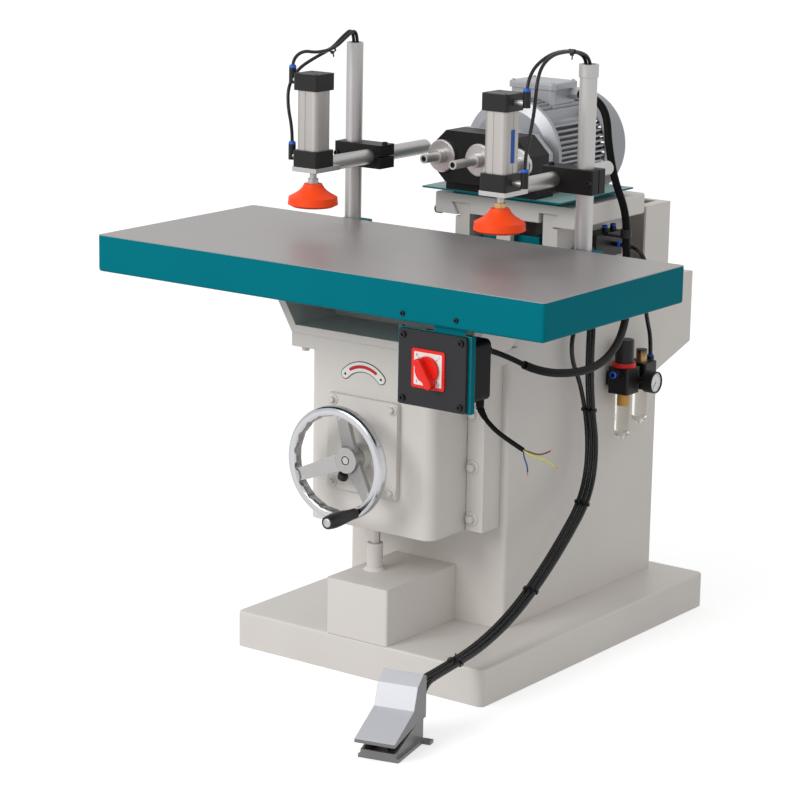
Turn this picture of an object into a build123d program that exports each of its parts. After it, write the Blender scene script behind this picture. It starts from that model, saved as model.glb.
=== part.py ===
from build123d import *
import os
from math import acos, cos, pi, radians, sin, sqrt, tan

# Multi-spindle boring machine, in millimetres.
# The origin is the middle of the base on the floor, +Z is up, +X runs along the table to the
# operator's right and +Y points away from the operator.

# Base
BASE_WIDTH = 530
BASE_DEPTH = 735
BASE_HEIGHT = 65
BASE_PLATE = 12
BASE_WALL = 14
BASE_RIB = 40
BASE_CORNER = 10
BASE_EDGE = 4

# Column with its leaning back and the dovetail way that carries the knee
COLUMN_WIDTH = 336
COLUMN_FRONT = -163
COLUMN_BACK = 330
COLUMN_TOP = 618
COLUMN_WALL = 10
COLUMN_EDGE = 8
OVERHANG = 120
OVERHANG_LOW = 447
OVERHANG_HIGH = 484
WAY_ROOT = 190
WAY_TIP = 218
WAY_DEPTH = 24
WAY_LOW = 252

# Running clearances
SLIDE_GAP = 0.2
RUN_GAP = 0.05
SEAT_GAP = 0.3

# Work table
TABLE_TOP = 740
TABLE_LENGTH = 920
TABLE_WIDTH = 425
TABLE_HEIGHT = 64
TABLE_EDGE = 1
TABLE_PLATE = 18
TABLE_SKIRT = 12
TABLE_RIB = 40
TABLE_CORNER = 6
TABLE_FOOT_EDGE = 5

# Trough-shaped saddle between the table and the knee
SADDLE_HEIGHT = 101
SADDLE_TOP_WIDTH = 490
SADDLE_FOOT_WIDTH = 370
SADDLE_WALL = 16
SADDLE_LIP = 14
SADDLE_BACK_WEB = 12

# Knee
KNEE_HEIGHT = 325
KNEE_FRONT = -318
KNEE_SHOULDER = -215
KNEE_WIDTH = 265
KNEE_X = -14.5
KNEE_SLIDE_WIDTH = 308
KNEE_PLATE = 24
KNEE_CORNER = 22
KNEE_WALL = 9
KNEE_FLOOR = 14
LIFT_X = -28
WHEEL_DROP = 195
COVER_X = -23
COVER_RAISE = 19
COVER_WIDTH = 148
COVER_HEIGHT = 168
COVER_THICK = 10
COVER_CORNER = 3
COVER_LAP = 14
COVER_BOSS_R = 24
COVER_BOSS = 14
COVER_BOSS_TAPER = 8

# Lifting screw, nut and pedestal
SCREW_Y = -278
SCREW_R = 9
SCREW_LOW = 108
SCREW_COLLAR_R = 17
SCREW_COLLAR = 8
NUT_R = 12
NUT_LENGTH = 40
SLEEVE_R = 14
SLEEVE_HEIGHT = 49
SLEEVE_FLARE = 6
SLEEVE_TAPER = 40
PEDESTAL_WIDTH = 130
PEDESTAL_HEIGHT = 101
PEDESTAL_WALL = 8

# Mitre gears inside the knee
MITRE_MODULE = 2.6
MITRE_TEETH = 16
MITRE_FACE = 11
MITRE_HUB = 12
MITRE_HUB_R = 13

# Handwheel and its revolving grip
WHEEL_R = 91
RIM_R = 9
RIM_DEPTH = 22
RIM_ROUND = 7
RIM_Y = -391
SCALLOPS = 18
SCALLOP_R = 11
SCALLOP_BITE = 3.5
HUB_R = 24
HUB_FRONT = -368
HUB_BACK = -346
HUB_TAPER = 4
SPOKES = 3
SPOKE_START = 82
SPOKE_FOOT = 16
SPOKE_HUB_WIDTH = 30
SPOKE_RIM_WIDTH = 22
SPOKE_THICK = 9
SHAFT_R = 10
GRIP_ANGLE = -57
GRIP_LENGTH = 77
GRIP_ROOT_R = 9
GRIP_END_R = 13
GRIP_PIN_R = 4
GRIP_STEP = 3

# Clamp posts
POST_X = 246
POST_Y = -65
POST_SETBACK = 22.5
POST_SINK = 4
POST_R = 15
POST_WALL = 3
POST_RISE = 314
POST_RING = 22
POST_RING_R = 17
BRACKET_WIDTH = 56
BRACKET_HEIGHT = 50
BRACKET_DROP = 6
BRACKET_LIP = 20

# Hold-down clamps
ARM_X = 196
ARM_RISE = 116
ARM_R = 13.4
ARM_FRONT = -215
ARM_BACK = 92
ARM_END = 9
SHOE_WIDTH = 52
SHOE_THICK = 8
SHOE_LAP = 10
CLAMP_HEIGHT = 42
CLAMP_DEPTH = 44
CLAMP_CHEEK = 12
CLAMP_SLIT = 3
CLAMP_EDGE = 3
CYLINDER_Y = -248
CAP_SIZE = 52
CAP_HEIGHT = 29
CAP_CORNER = 5
BARREL_SIZE = 44
BARREL_LENGTH = 104
BARREL_CORNER = 9
BARREL_BORE_R = 20
BARREL_GROOVE = 5
ROD_R = 6
PISTON_HEIGHT = 14
PAD_GAP = 46
PAD_R = 44
PAD_HEIGHT = 40
PAD_LIP = 17
PAD_BEVEL = 8
PAD_EDGE = 4
PAD_DRAFT = 1.5
PAD_FLARE = 14
PAD_WAIST = 3
PAD_NECK_R = 16
PAD_WALL = 5
NUT_HEIGHT = 9
NUT_FLATS_R = 10
ELBOW_R = 6.5
ELBOW_STUB = 21
ELBOW_STUB_R = 5
ELBOW_RISE = 20
ELBOW_FOOT = 7

# Slide bed, carriage and the stack that carries the boring head
BED_WIDTH = 220
BED_WALL = 31
BED_FLOOR = 14
BED_FRONT = 65
BED_BACK = 298
BED_HEIGHT = 148
BED_WAY = 24
BED_WAY_ROOT = 200
BED_WAY_TIP = 228
BED_BACK_WEB = 12
CARRIAGE_WIDTH = 300
CARRIAGE_PLATE = 16
CARRIAGE_FRONT = 58
CARRIAGE_LENGTH = 236
CARRIAGE_LIFT = 2
CARRIAGE_EDGE = 4
LUG_WIDTH = 30
LUG_THICK = 12
LUG_LOW = 24
TROUGH_WALL = 8
TROUGH_FLOOR = 10
TROUGH_LENGTH = 214
RISER_WIDTH = 222
RISER_HEIGHT = 12
RISER_LENGTH = 200
SHEET_WIDTH = 296
SHEET_FRONT = 12
SHEET_LENGTH = 244
SHEET_THICK = 3
FOOT_WIDTH = 192
FOOT_HEIGHT = 19
BRIDGE_BACK = 69
MOTOR_GAP = 4

# Feed cylinder between the bed walls
FEED_DROP = 92
FEED_R = 27
FEED_BORE_R = 22
FEED_CAP = 22
FEED_LENGTH = 184
FEED_ROD_R = 8
FEED_PISTON = 14
FEED_BRACKET_WIDTH = 120
FEED_BRACKET_HEIGHT = 84
FEED_BRACKET = 12
FEED_GAP = 6

# Rear housing behind the bed
HOUSING_WIDTH = 300
HOUSING_FRONT = 302
HOUSING_LENGTH = 86
HOUSING_HEIGHT = 138
HOUSING_SHEET = 4
HOUSING_SLOT = 44
HOUSING_SLOT_LENGTH = 58

# Spindle gearbox
GEARBOX_WIDTH = 214
GEARBOX_HEIGHT = 92
GEARBOX_FRONT = -21
GEARBOX_DEPTH = 56
GEARBOX_CUT_X = 32
GEARBOX_CUT_Z = 31
GEARBOX_WALL = 4
GEARBOX_FACE = 12
SPINDLE_PITCH = 80
GEAR_MODULE = 2
GEAR_FACE = 18
GEAR_BACKLASH = 0.3
PRESSURE_ANGLE = 20
TOOTH_TIP = 0.9
TOOTH_ROOT = 1.25
IDLER_PIN_R = 6
POCKET_DEPTH = 6
FLANGE_R = 29
FLANGE_THICK = 8
FLANGE_EDGE = 2
SPINDLE_R = 11
COLLAR_R = 13
COLLAR_LENGTH = 16
CHUCK_R = 8
CHUCK_BORE_R = 5
CHUCK_BORE_DEPTH = 30
CHUCK_ENDS = {"left": -81, "centre": -107, "right": -118}

# Motor
SHIELD_FRONT = 47
SHIELD_NECK_R = 45
SHIELD_NECK = 24
SHIELD_R = 100
SHIELD_FACE_R = 80
SHIELD_SLOPE = 8
SHIELD_RIM = 9
FRAME_R = 82
FRAME_BORE_R = 52
FRAME_LENGTH = 159
FRAME_END = 13
FIN_THICK = 3.2
FIN_PITCH = 9
FIN_ROWS = 13
ROTOR_GAP = 0.6
ROTOR_LENGTH = 120
MOTOR_SHAFT_R = 12
FAN_R = 80
FAN_BLADES = 7
FAN_DEPTH = 24
FAN_BLADE = 3
FAN_HUB_R = 24
FAN_COVER_R = 100
FAN_COVER_LENGTH = 66
FAN_COVER_SHEET = 2.5
FAN_COVER_EDGE = 14
GRILLE_SLOTS = 20
GRILLE_INNER = 30
GRILLE_OUTER = 74
GRILLE_SLOT = 6
TERMINAL_WIDTH = 100
TERMINAL_LENGTH = 84
TERMINAL_START = 133
TERMINAL_TOP = 124
TERMINAL_LID = 12
TERMINAL_LID_EDGE = 3
TERMINAL_CORNER = 10
GLAND_R = 10
GLAND_LENGTH = 16
GLAND_BACK = 60
GLAND_DROP = 22

# Switch box under the front skirt
SWITCH_X = 247
SWITCH_WIDTH = 142
SWITCH_HEIGHT = 126
SWITCH_DROP = 11
SWITCH_PLATE = 3
SWITCH_FLANGE = 12
SWITCH_TONGUE = 40
LID_WIDTH = 131
LID_HEIGHT = 124
LID_THICK = 7
LID_CORNER = 4
BOX_WIDTH = 134
BOX_HEIGHT = 100
BOX_DEPTH = 58
BOX_CORNER = 10
BOX_GLAND_R = 9
BOX_GLAND = 12
BOX_GLAND_X = 53
BOX_GLAND_Z = 28
LEAD_GLAND_R = 7
LEAD_GLAND = 10
LEAD_GLAND_X = 57
LEAD_GLAND_Y = 13
DIAL_X = -6
DIAL_Z = 1
DIAL_BOSS_R = 8
DIAL_BOSS = 3
KNOB_R = 22
KNOB_DISC = 5
KNOB_BAR = 14
KNOB_BAR_LENGTH = 54
KNOB_BAR_SHIFT = 5
KNOB_BAR_HEIGHT = 15
KNOB_TURN = -58

# Air preparation unit on the column's right face
FILTER_Y = 164
FILTER_Z = 463
FILTER_PITCH = 60
FILTER_OFFSET = 30
FILTER_BODY = 42
FILTER_BODY_HEIGHT = 48
FILTER_BRACKET = 4
FILTER_RING_R = 21
FILTER_RING = 8
FILTER_LINK_R = 12
AIR_KNOB_R = 17
AIR_KNOB_HEIGHT = 42
BOWL_R = 14
BOWL_LENGTH = 86
OILER_BOWL_LENGTH = 68
BOWL_WALL = 2
OILER_DOME_R = 10
OILER_DOME_HEIGHT = 22
GAUGE_R = 20
GAUGE_THICK = 18
GAUGE_STEM = 10
GAUGE_STEM_R = 6
GAUGE_DROP = 4
AIR_PORT_R = 8
AIR_PORT_BORE_R = 4
AIR_PORT = 14
AIR_PORT_RISE = 14
OUTLET_R = 7
OUTLET_GAP = 3
OUTLET_RISE = 29

# Air valve on the bed's right wall
VALVE_START = 142
VALVE_LENGTH = 88
VALVE_DEPTH = 34
VALVE_HEIGHT = 44
VALVE_RISE = 60
VALVE_PORT_R = 4.5
VALVE_PORT = 12
VALVE_PORT_PITCH = 11
VALVE_PORT_X = 17
VALVE_PORT_Z = 22
VALVE_INLET_Y = 58
CLIP_REACH = 42
CLIP_THICK = 3
CLIP_HEIGHT = 16
CLIP_WIDTH = 12
CLIP_Y = 32

# Foot pedal valve
PEDAL_X = 274
PEDAL_Y = -672
PEDAL_TURN = 13
PEDAL_WIDTH = 70
PEDAL_LENGTH = 112
PEDAL_FLOOR = 6
PEDAL_WALL = 4
PEDAL_LIP = 14
PEDAL_REAR = 38
PEDAL_REAR_WALL = 8
PEDAL_PIVOT_W = 96
PEDAL_PIVOT_Z = 50
PEDAL_PIN_R = 4
PEDAL_CHEEK_R = 8
PEDAL_BLOCK_WIDTH = 34
PEDAL_BLOCK_START = 40
PEDAL_BLOCK_LENGTH = 40
PEDAL_BLOCK_HEIGHT = 26
PEDAL_PLUNGER_R = 6
PEDAL_PLUNGER_W = 30
PEDAL_PLUNGER_Z = 33
PEDAL_EAR = 14
PEDAL_EAR_HOLE_R = 3
PEDAL_PORT_PITCH = 18
PEDAL_PORT_R = 6
PEDAL_PORT_GAP = 1
PEDAL_PORT_LOW = 16
PEDAL_PORT_TOP = 38
TREADLE_THICK = 5
TREADLE_SKIRT = 4
TREADLE_TIP = 20
TREADLE_TIP_WALL = 6
TREADLE_NOSE_W = -15
TREADLE_NOSE_LOW = 30
TREADLE_NOSE_Z = 36
TREADLE_CREASE_W = 62
TREADLE_CREASE_Z = 67
TREADLE_BROW_W = 76
TREADLE_BROW_Z = 103
TREADLE_CROWN_W = 100
TREADLE_CROWN_Z = 118
TREADLE_HEEL_Z = 112
TREADLE_LOW_W = 70
TREADLE_LOW_Z = 42

# Hoses and cables; each route lists the points between the cord's two fittings
BEND_SHARE = 0.45
HOSE_R = 3
ELBOW_LEADS = (26, 14)
LEFT_LOW_HOSE = [(-254, -247, 955), (-259, -240, 990), (-257, -215, 1018), (-252, -175, 1034),
                 (-250, -130, 1046), (-250, -96, 1066), (-250, -70, 1078), (-250, -62, 1050),
                 (-250, -65, 1005), (-250, -65, 958)]
LEFT_HIGH_HOSE = [(-242, -222, 1051), (-242, -180, 1044), (-242, -130, 1048), (-242, -96, 1066),
                  (-242, -70, 1078), (-242, -62, 1050), (-242, -65, 1005), (-242, -65, 958)]
RIGHT_LOW_HOSE = [(250, -240, 960), (254, -235, 1002), (254, -231, 1040), (252, -216, 1066),
                  (250, -182, 1080), (250, -140, 1082), (250, -100, 1078), (250, -72, 1066),
                  (250, -63, 1038), (250, -65, 1000), (250, -65, 958)]
RIGHT_HIGH_HOSE = [(242, -238, 1058), (242, -213, 1074), (242, -180, 1082), (242, -140, 1083),
                   (242, -100, 1078), (242, -72, 1066), (242, -63, 1038), (242, -65, 1000),
                   (242, -65, 958)]
PEDAL_HOSE_R = 4
PEDAL_HOSE_PITCH = 9.2
VALVE_LEAD = 35
HOSE_SHOULDER = (168, 66, 660)
PEDAL_HOSE = [(194, 48, 600), (198, 40, 520), (198, 50, 440),
              (203, 72, 350), (212, 40, 272), (224, -50, 222), (235, -150, 168), (242, -255, 124),
              (248, -360, 100), (250, -450, 93), (250, -510, 93)]
LOOP_HOSE = [(194, 28, 608), (198, -12, 535), (198, 45, 445),
             (203, 72, 350), (212, 40, 272), (224, -50, 222), (235, -150, 168), (242, -255, 124),
             (248, -360, 100), (250, -450, 93), (250, -510, 93)]
PORT_LEAD = 40
AIR_LEAD = 36
AIR_HOSE = [(203, 216, 582), (214, 202, 640)]
INLET_LEAD = 56
CONDUIT_R = 7
BOX_LEAD = 54
SWITCH_CONDUIT = [(318, -290, 582), (316, -180, 555), (302, -80, 549), (276, 10, 563),
                  (244, 85, 584), (216, 140, 618), (203, 168, 668)]
CLIP_LEAD = 33
MOTOR_CONDUIT = [(168, 170, 820), (144, 181, 888), (125.6, 190, 944.7)]
GLAND_LEAD = 33
LEAD_R = 4
MAINS_START = 14
MAINS_LEAD = [(340, -452, 510), (388, -451, 484)]

os.makedirs("parts", exist_ok=True)


def keep(piece, name):
    piece.part.label = name
    export_step(piece.part, f"parts/{name}.step")


def level(z):
    """Horizontal plane, drawn in X and Y, grown upwards."""
    return Plane.XY.offset(z)


def facing(y, x=0, z=0):
    """Plane across the machine, drawn in X and Z as the operator sees it, grown to the front."""
    return Plane(origin=(x, y, z), x_dir=(1, 0, 0), z_dir=(0, -1, 0))


def along(x):
    """Plane along the machine's depth, drawn in Y and Z, grown to the right."""
    return Plane.YZ.offset(x)


def area(low_u, high_u, low_v, high_v, mode=Mode.ADD):
    """Rectangle between two pairs of limits."""
    with Locations(((low_u + high_u) / 2, (low_v + high_v) / 2)):
        Rectangle(high_u - low_u, high_v - low_v, mode=mode)


def outline(*points, mode=Mode.ADD):
    """Closed straight-sided face through the points, where they stand."""
    Polygon(*points, align=None, mode=mode)


def gear_points(module, teeth, thinning, scale=1.0, first=0.0):
    """Points of a gear's outline, with flat involute flanks, starting with a tooth at first."""
    pressure = radians(PRESSURE_ANGLE)
    pitch_r = module * teeth / 2
    base_r = pitch_r * cos(pressure)
    tip_r = pitch_r + TOOTH_TIP * module
    root_r = pitch_r - TOOTH_ROOT * module
    half_tooth = (pi * module / 2 - thinning) / 2 / pitch_r

    def roll(r):
        return sqrt((r / base_r) ** 2 - 1) - acos(base_r / r)

    low_r = max(base_r, root_r)
    shape = [(root_r, half_tooth + roll(pitch_r) - roll(low_r)), (pitch_r, half_tooth)]
    shape.append((tip_r, half_tooth + roll(pitch_r) - roll(tip_r)))
    points = []
    for tooth in range(teeth):
        middle = first + 2 * pi * tooth / teeth
        for r, half in shape:
            points.append((scale * r * cos(middle - half), scale * r * sin(middle - half)))
        for r, half in reversed(shape):
            points.append((scale * r * cos(middle + half), scale * r * sin(middle + half)))
    return points


# Base: a welded box, open underneath, with a cross of ribs through the middle
base_pocket_x = (BASE_WIDTH - 2 * BASE_WALL - BASE_RIB) / 2
base_pocket_y = (BASE_DEPTH - 2 * BASE_WALL - BASE_RIB) / 2
with BuildPart() as base_frame:
    with BuildSketch(level(0)):
        RectangleRounded(BASE_WIDTH, BASE_DEPTH, BASE_CORNER)
    extrude(amount=BASE_HEIGHT)
    fillet(base_frame.faces().sort_by(Axis.Z)[-1].edges(), BASE_EDGE)
    with BuildSketch(level(0)):
        with GridLocations(base_pocket_x + BASE_RIB, base_pocket_y + BASE_RIB, 2, 2):
            Rectangle(base_pocket_x, base_pocket_y)
    extrude(amount=BASE_HEIGHT - BASE_PLATE, mode=Mode.SUBTRACT)
keep(base_frame, "base_frame")

# Column: a welded plate box whose back leans out, with the knee's dovetail way up its front
column_half = COLUMN_WIDTH / 2
overhang_back = COLUMN_BACK + OVERHANG
column_outline = [
    (COLUMN_FRONT, BASE_HEIGHT),
    (COLUMN_BACK, BASE_HEIGHT),
    (COLUMN_BACK, OVERHANG_LOW),
    (overhang_back, OVERHANG_HIGH),
    (overhang_back, COLUMN_TOP),
    (COLUMN_FRONT, COLUMN_TOP),
]
way_front = COLUMN_FRONT - WAY_DEPTH
with BuildPart() as column:
    with BuildSketch(Plane.YZ):
        outline(*column_outline)
    extrude(amount=column_half, both=True)
    fillet(column.edges().filter_by(Axis.Z).group_by(Axis.Y)[0], COLUMN_EDGE)
    with BuildSketch(Plane.YZ):
        outline(*column_outline)
        offset(amount=-COLUMN_WALL, kind=Kind.INTERSECTION, mode=Mode.REPLACE)
    extrude(amount=column_half - COLUMN_WALL, both=True, mode=Mode.SUBTRACT)
    with BuildSketch(level(BASE_HEIGHT)):
        area(COLUMN_WALL - column_half, column_half - COLUMN_WALL,
             COLUMN_FRONT + COLUMN_WALL, COLUMN_BACK - COLUMN_WALL)
    extrude(amount=COLUMN_WALL, mode=Mode.SUBTRACT)
    with BuildSketch(level(WAY_LOW)):
        outline((-WAY_ROOT / 2, COLUMN_FRONT), (-WAY_TIP / 2, way_front),
                (WAY_TIP / 2, way_front), (WAY_ROOT / 2, COLUMN_FRONT))
    extrude(amount=COLUMN_TOP - WAY_LOW)
keep(column, "column")

# Pedestal: an open-bottomed box on the base whose sleeve holds the lifting nut
base_front = -BASE_DEPTH / 2
pedestal_top = BASE_HEIGHT + PEDESTAL_HEIGHT
sleeve_top = pedestal_top + SLEEVE_HEIGHT
with BuildPart() as screw_pedestal:
    with BuildSketch(level(BASE_HEIGHT)):
        area(-PEDESTAL_WIDTH / 2, PEDESTAL_WIDTH / 2, base_front, COLUMN_FRONT)
    extrude(amount=PEDESTAL_HEIGHT)
    fillet(screw_pedestal.edges().filter_by(Axis.Z).group_by(Axis.Y)[0], BASE_EDGE)
    with BuildSketch(level(BASE_HEIGHT)):
        area(PEDESTAL_WALL - PEDESTAL_WIDTH / 2, PEDESTAL_WIDTH / 2 - PEDESTAL_WALL,
             base_front + PEDESTAL_WALL, COLUMN_FRONT - PEDESTAL_WALL)
    extrude(amount=PEDESTAL_HEIGHT - PEDESTAL_WALL, mode=Mode.SUBTRACT)
    with BuildSketch(level(pedestal_top)):
        with Locations((LIFT_X, SCREW_Y)):
            Circle(SLEEVE_R)
    extrude(amount=SLEEVE_HEIGHT)
    with BuildSketch(level(pedestal_top)):
        with Locations((LIFT_X, SCREW_Y)):
            Circle(SLEEVE_R + SLEEVE_FLARE)
    extrude(amount=SLEEVE_FLARE, taper=SLEEVE_TAPER)
    with BuildSketch(level(sleeve_top)):
        with Locations((LIFT_X, SCREW_Y)):
            Circle(NUT_R + RUN_GAP)
    extrude(amount=-SLEEVE_HEIGHT - PEDESTAL_WALL, mode=Mode.SUBTRACT)
keep(screw_pedestal, "screw_pedestal")

# Bronze nut pressed into the sleeve
with BuildPart() as lift_nut:
    with BuildSketch(level(sleeve_top - NUT_LENGTH)):
        with Locations((LIFT_X, SCREW_Y)):
            Circle(NUT_R)
            Circle(SCREW_R + RUN_GAP, mode=Mode.SUBTRACT)
    extrude(amount=NUT_LENGTH)
keep(lift_nut, "lift_nut")

# Knee: hollow casting on the dovetail way, with a wide plate on top for the saddle
saddle_top = TABLE_TOP - TABLE_HEIGHT
knee_top = saddle_top - SADDLE_HEIGHT
knee_low = knee_top - KNEE_HEIGHT
wheel_z = knee_top - WHEEL_DROP
knee_back = COLUMN_FRONT - SLIDE_GAP
knee_left = KNEE_X - KNEE_WIDTH / 2
knee_right = KNEE_X + KNEE_WIDTH / 2
cover_z = wheel_z + COVER_RAISE
cover_front = KNEE_FRONT - COVER_THICK
mitre_r = MITRE_MODULE * MITRE_TEETH / 2
with BuildPart() as knee:
    with BuildSketch(level(knee_low)) as knee_section:
        area(knee_left, knee_right, KNEE_FRONT, knee_back)
        fillet(knee_section.vertices().group_by(Axis.Y)[0], KNEE_CORNER)
        area(-KNEE_SLIDE_WIDTH / 2, KNEE_SLIDE_WIDTH / 2, KNEE_SHOULDER, knee_back)
    extrude(amount=KNEE_HEIGHT)
    with BuildSketch(level(knee_top - KNEE_PLATE)):
        area(-SADDLE_FOOT_WIDTH / 2, SADDLE_FOOT_WIDTH / 2, KNEE_FRONT, knee_back)
    extrude(amount=KNEE_PLATE)
    with BuildSketch(level(knee_low + KNEE_FLOOR)):
        area(knee_left + KNEE_WALL, knee_right - KNEE_WALL, KNEE_FRONT + KNEE_WALL, KNEE_SHOULDER)
    extrude(amount=KNEE_HEIGHT - KNEE_FLOOR - KNEE_PLATE, mode=Mode.SUBTRACT)
    with BuildSketch(level(knee_low)):
        outline((-WAY_ROOT / 2 - SLIDE_GAP, knee_back),
                (-WAY_TIP / 2 - SLIDE_GAP, way_front - SLIDE_GAP),
                (WAY_TIP / 2 + SLIDE_GAP, way_front - SLIDE_GAP),
                (WAY_ROOT / 2 + SLIDE_GAP, knee_back))
    extrude(amount=KNEE_HEIGHT, mode=Mode.SUBTRACT)
    with BuildSketch(facing(KNEE_FRONT, COVER_X, cover_z)):
        RectangleRounded(COVER_WIDTH - 2 * COVER_LAP, COVER_HEIGHT - 2 * COVER_LAP, COVER_CORNER)
    extrude(amount=-KNEE_WALL, mode=Mode.SUBTRACT)
    with BuildSketch(level(knee_low)):
        with Locations((LIFT_X, SCREW_Y)):
            Circle(SCREW_R + RUN_GAP)
    extrude(amount=KNEE_FLOOR, mode=Mode.SUBTRACT)
keep(knee, "knee")

# Cover plate over the knee's front opening, with the bearing boss of the handwheel shaft
with BuildPart() as shaft_cover:
    with BuildSketch(facing(KNEE_FRONT, COVER_X, cover_z)):
        RectangleRounded(COVER_WIDTH, COVER_HEIGHT, COVER_CORNER)
    extrude(amount=COVER_THICK)
    with BuildSketch(facing(cover_front, LIFT_X, wheel_z)):
        Circle(COVER_BOSS_R)
    extrude(amount=COVER_BOSS, taper=COVER_BOSS_TAPER)
    with BuildSketch(facing(KNEE_FRONT, LIFT_X, wheel_z)):
        Circle(SHAFT_R + RUN_GAP)
    extrude(amount=COVER_THICK + COVER_BOSS, mode=Mode.SUBTRACT)
keep(shaft_cover, "shaft_cover")

# Lifting screw: plain spindle with its thrust collar and the mitre gear below the shaft's axis
gear_low = wheel_z - mitre_r
mitre_shrink = (mitre_r - MITRE_FACE) / mitre_r
with BuildPart() as lift_screw:
    with BuildSketch(level(SCREW_LOW)):
        with Locations((LIFT_X, SCREW_Y)):
            Circle(SCREW_R)
    extrude(amount=gear_low - SCREW_LOW)
    with BuildSketch(level(knee_low + KNEE_FLOOR)):
        with Locations((LIFT_X, SCREW_Y)):
            Circle(SCREW_COLLAR_R)
    extrude(amount=SCREW_COLLAR)
    with BuildSketch(level(gear_low - MITRE_HUB)):
        with Locations((LIFT_X, SCREW_Y)):
            Circle(MITRE_HUB_R)
    extrude(amount=MITRE_HUB)
    for height, scale in ((0, 1.0), (MITRE_FACE, mitre_shrink)):
        with BuildSketch(Plane(origin=(LIFT_X, SCREW_Y, gear_low + height))):
            outline(*gear_points(MITRE_MODULE, MITRE_TEETH, GEAR_BACKLASH, scale, -pi / 2))
    loft(ruled=True)
keep(lift_screw, "lift_screw")

# Handwheel shaft with the mitre pinion at its inner end; the pinion's gap meets the gear's tooth
pinion_back = SCREW_Y - mitre_r
half_tooth_turn = pi / MITRE_TEETH
with BuildPart() as wheel_shaft:
    with BuildSketch(facing(pinion_back, LIFT_X, wheel_z)):
        Circle(SHAFT_R)
    extrude(amount=pinion_back - HUB_FRONT)
    for depth, scale in ((0, 1.0), (MITRE_FACE, mitre_shrink)):
        with BuildSketch(facing(pinion_back + depth, LIFT_X, wheel_z)):
            outline(*gear_points(MITRE_MODULE, MITRE_TEETH, GEAR_BACKLASH, scale, -pi / 2 + half_tooth_turn))
    loft(ruled=True)
keep(wheel_shaft, "wheel_shaft")

# Handwheel: rounded rim with finger scallops inside, three spokes that slope back, and a bored hub
wheel_axis = Axis((LIFT_X, RIM_Y, wheel_z), (0, 1, 0))
wheel_plane = facing(RIM_Y, LIFT_X, wheel_z)
grip_x = WHEEL_R * cos(radians(GRIP_ANGLE))
grip_z = WHEEL_R * sin(radians(GRIP_ANGLE))
rim_front = RIM_Y - RIM_DEPTH / 2
spoke_outer = WHEEL_R - RIM_R + SCALLOP_BITE
hub_middle = (HUB_FRONT + HUB_BACK) / 2
spoke_ends = ((SPOKE_FOOT, hub_middle, SPOKE_HUB_WIDTH), (spoke_outer, RIM_Y, SPOKE_RIM_WIDTH))
with BuildPart() as handwheel:
    with BuildSketch(Plane(origin=(LIFT_X, RIM_Y, wheel_z), x_dir=(1, 0, 0), z_dir=(0, 0, 1))):
        with Locations((WHEEL_R, 0)):
            RectangleRounded(2 * RIM_R, RIM_DEPTH, RIM_ROUND)
    revolve(axis=wheel_axis)
    with Locations(wheel_plane):
        with PolarLocations(WHEEL_R - RIM_R - SCALLOP_R + SCALLOP_BITE, SCALLOPS,
                            start_angle=SPOKE_START + 180 / SCALLOPS):
            Cylinder(SCALLOP_R, RIM_DEPTH, mode=Mode.SUBTRACT)
    for spoke in range(SPOKES):
        turn = radians(SPOKE_START) + 2 * pi * spoke / SPOKES
        for reach, depth, width in spoke_ends:
            with BuildSketch(Plane(origin=(LIFT_X + reach * cos(turn), depth, wheel_z + reach * sin(turn)),
                                   x_dir=(0, 1, 0), z_dir=(cos(turn), 0, sin(turn)))):
                Rectangle(SPOKE_THICK, width)
        loft(ruled=True)
    with BuildSketch(facing(HUB_BACK, LIFT_X, wheel_z)):
        Circle(HUB_R)
    extrude(amount=HUB_BACK - HUB_FRONT, taper=HUB_TAPER)
    with BuildSketch(facing(HUB_BACK, LIFT_X, wheel_z)):
        Circle(SHAFT_R + RUN_GAP)
    extrude(amount=HUB_BACK - HUB_FRONT, mode=Mode.SUBTRACT)
    with BuildSketch(facing(RIM_Y, LIFT_X + grip_x, wheel_z + grip_z)):
        Circle(GRIP_PIN_R)
    extrude(amount=RIM_DEPTH / 2 + GRIP_STEP + GRIP_LENGTH)
keep(handwheel, "handwheel")

# Revolving grip: a turned handle on the pin, swelling towards its rounded end
with BuildPart() as wheel_grip:
    with BuildSketch(Plane(origin=(LIFT_X + grip_x, rim_front - GRIP_STEP, wheel_z + grip_z),
                           x_dir=(1, 0, 0), z_dir=(0, 0, 1))):
        with BuildLine():
            grip_bore = GRIP_PIN_R + RUN_GAP
            Line((grip_bore, 0), (GRIP_ROOT_R, 0))
            Spline((GRIP_ROOT_R, 0), (GRIP_ROOT_R + 1.5, -GRIP_LENGTH * 0.3),
                   (GRIP_END_R, -GRIP_LENGTH * 0.75), (GRIP_END_R - 2, -GRIP_LENGTH))
            Line((GRIP_END_R - 2, -GRIP_LENGTH), (grip_bore, -GRIP_LENGTH))
            Line((grip_bore, -GRIP_LENGTH), (grip_bore, 0))
        make_face()
    revolve(axis=Axis((LIFT_X + grip_x, RIM_Y, wheel_z + grip_z), (0, 1, 0)))
keep(wheel_grip, "wheel_grip")

# Table saddle: a flared trough with turned-in lips, closed by a web at the back
saddle_half = SADDLE_TOP_WIDTH / 2
foot_half = SADDLE_FOOT_WIDTH / 2
lip_half = saddle_half - TABLE_RIB
lip_low = saddle_top - SADDLE_LIP
trough_floor = knee_top + SADDLE_LIP
saddle_back = way_front - SEAT_GAP
flare = (saddle_half - foot_half) / SADDLE_HEIGHT


def trough_half(z):
    """Half the trough's inner width at a height."""
    return foot_half + flare * (z - knee_top) - SADDLE_WALL


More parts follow.
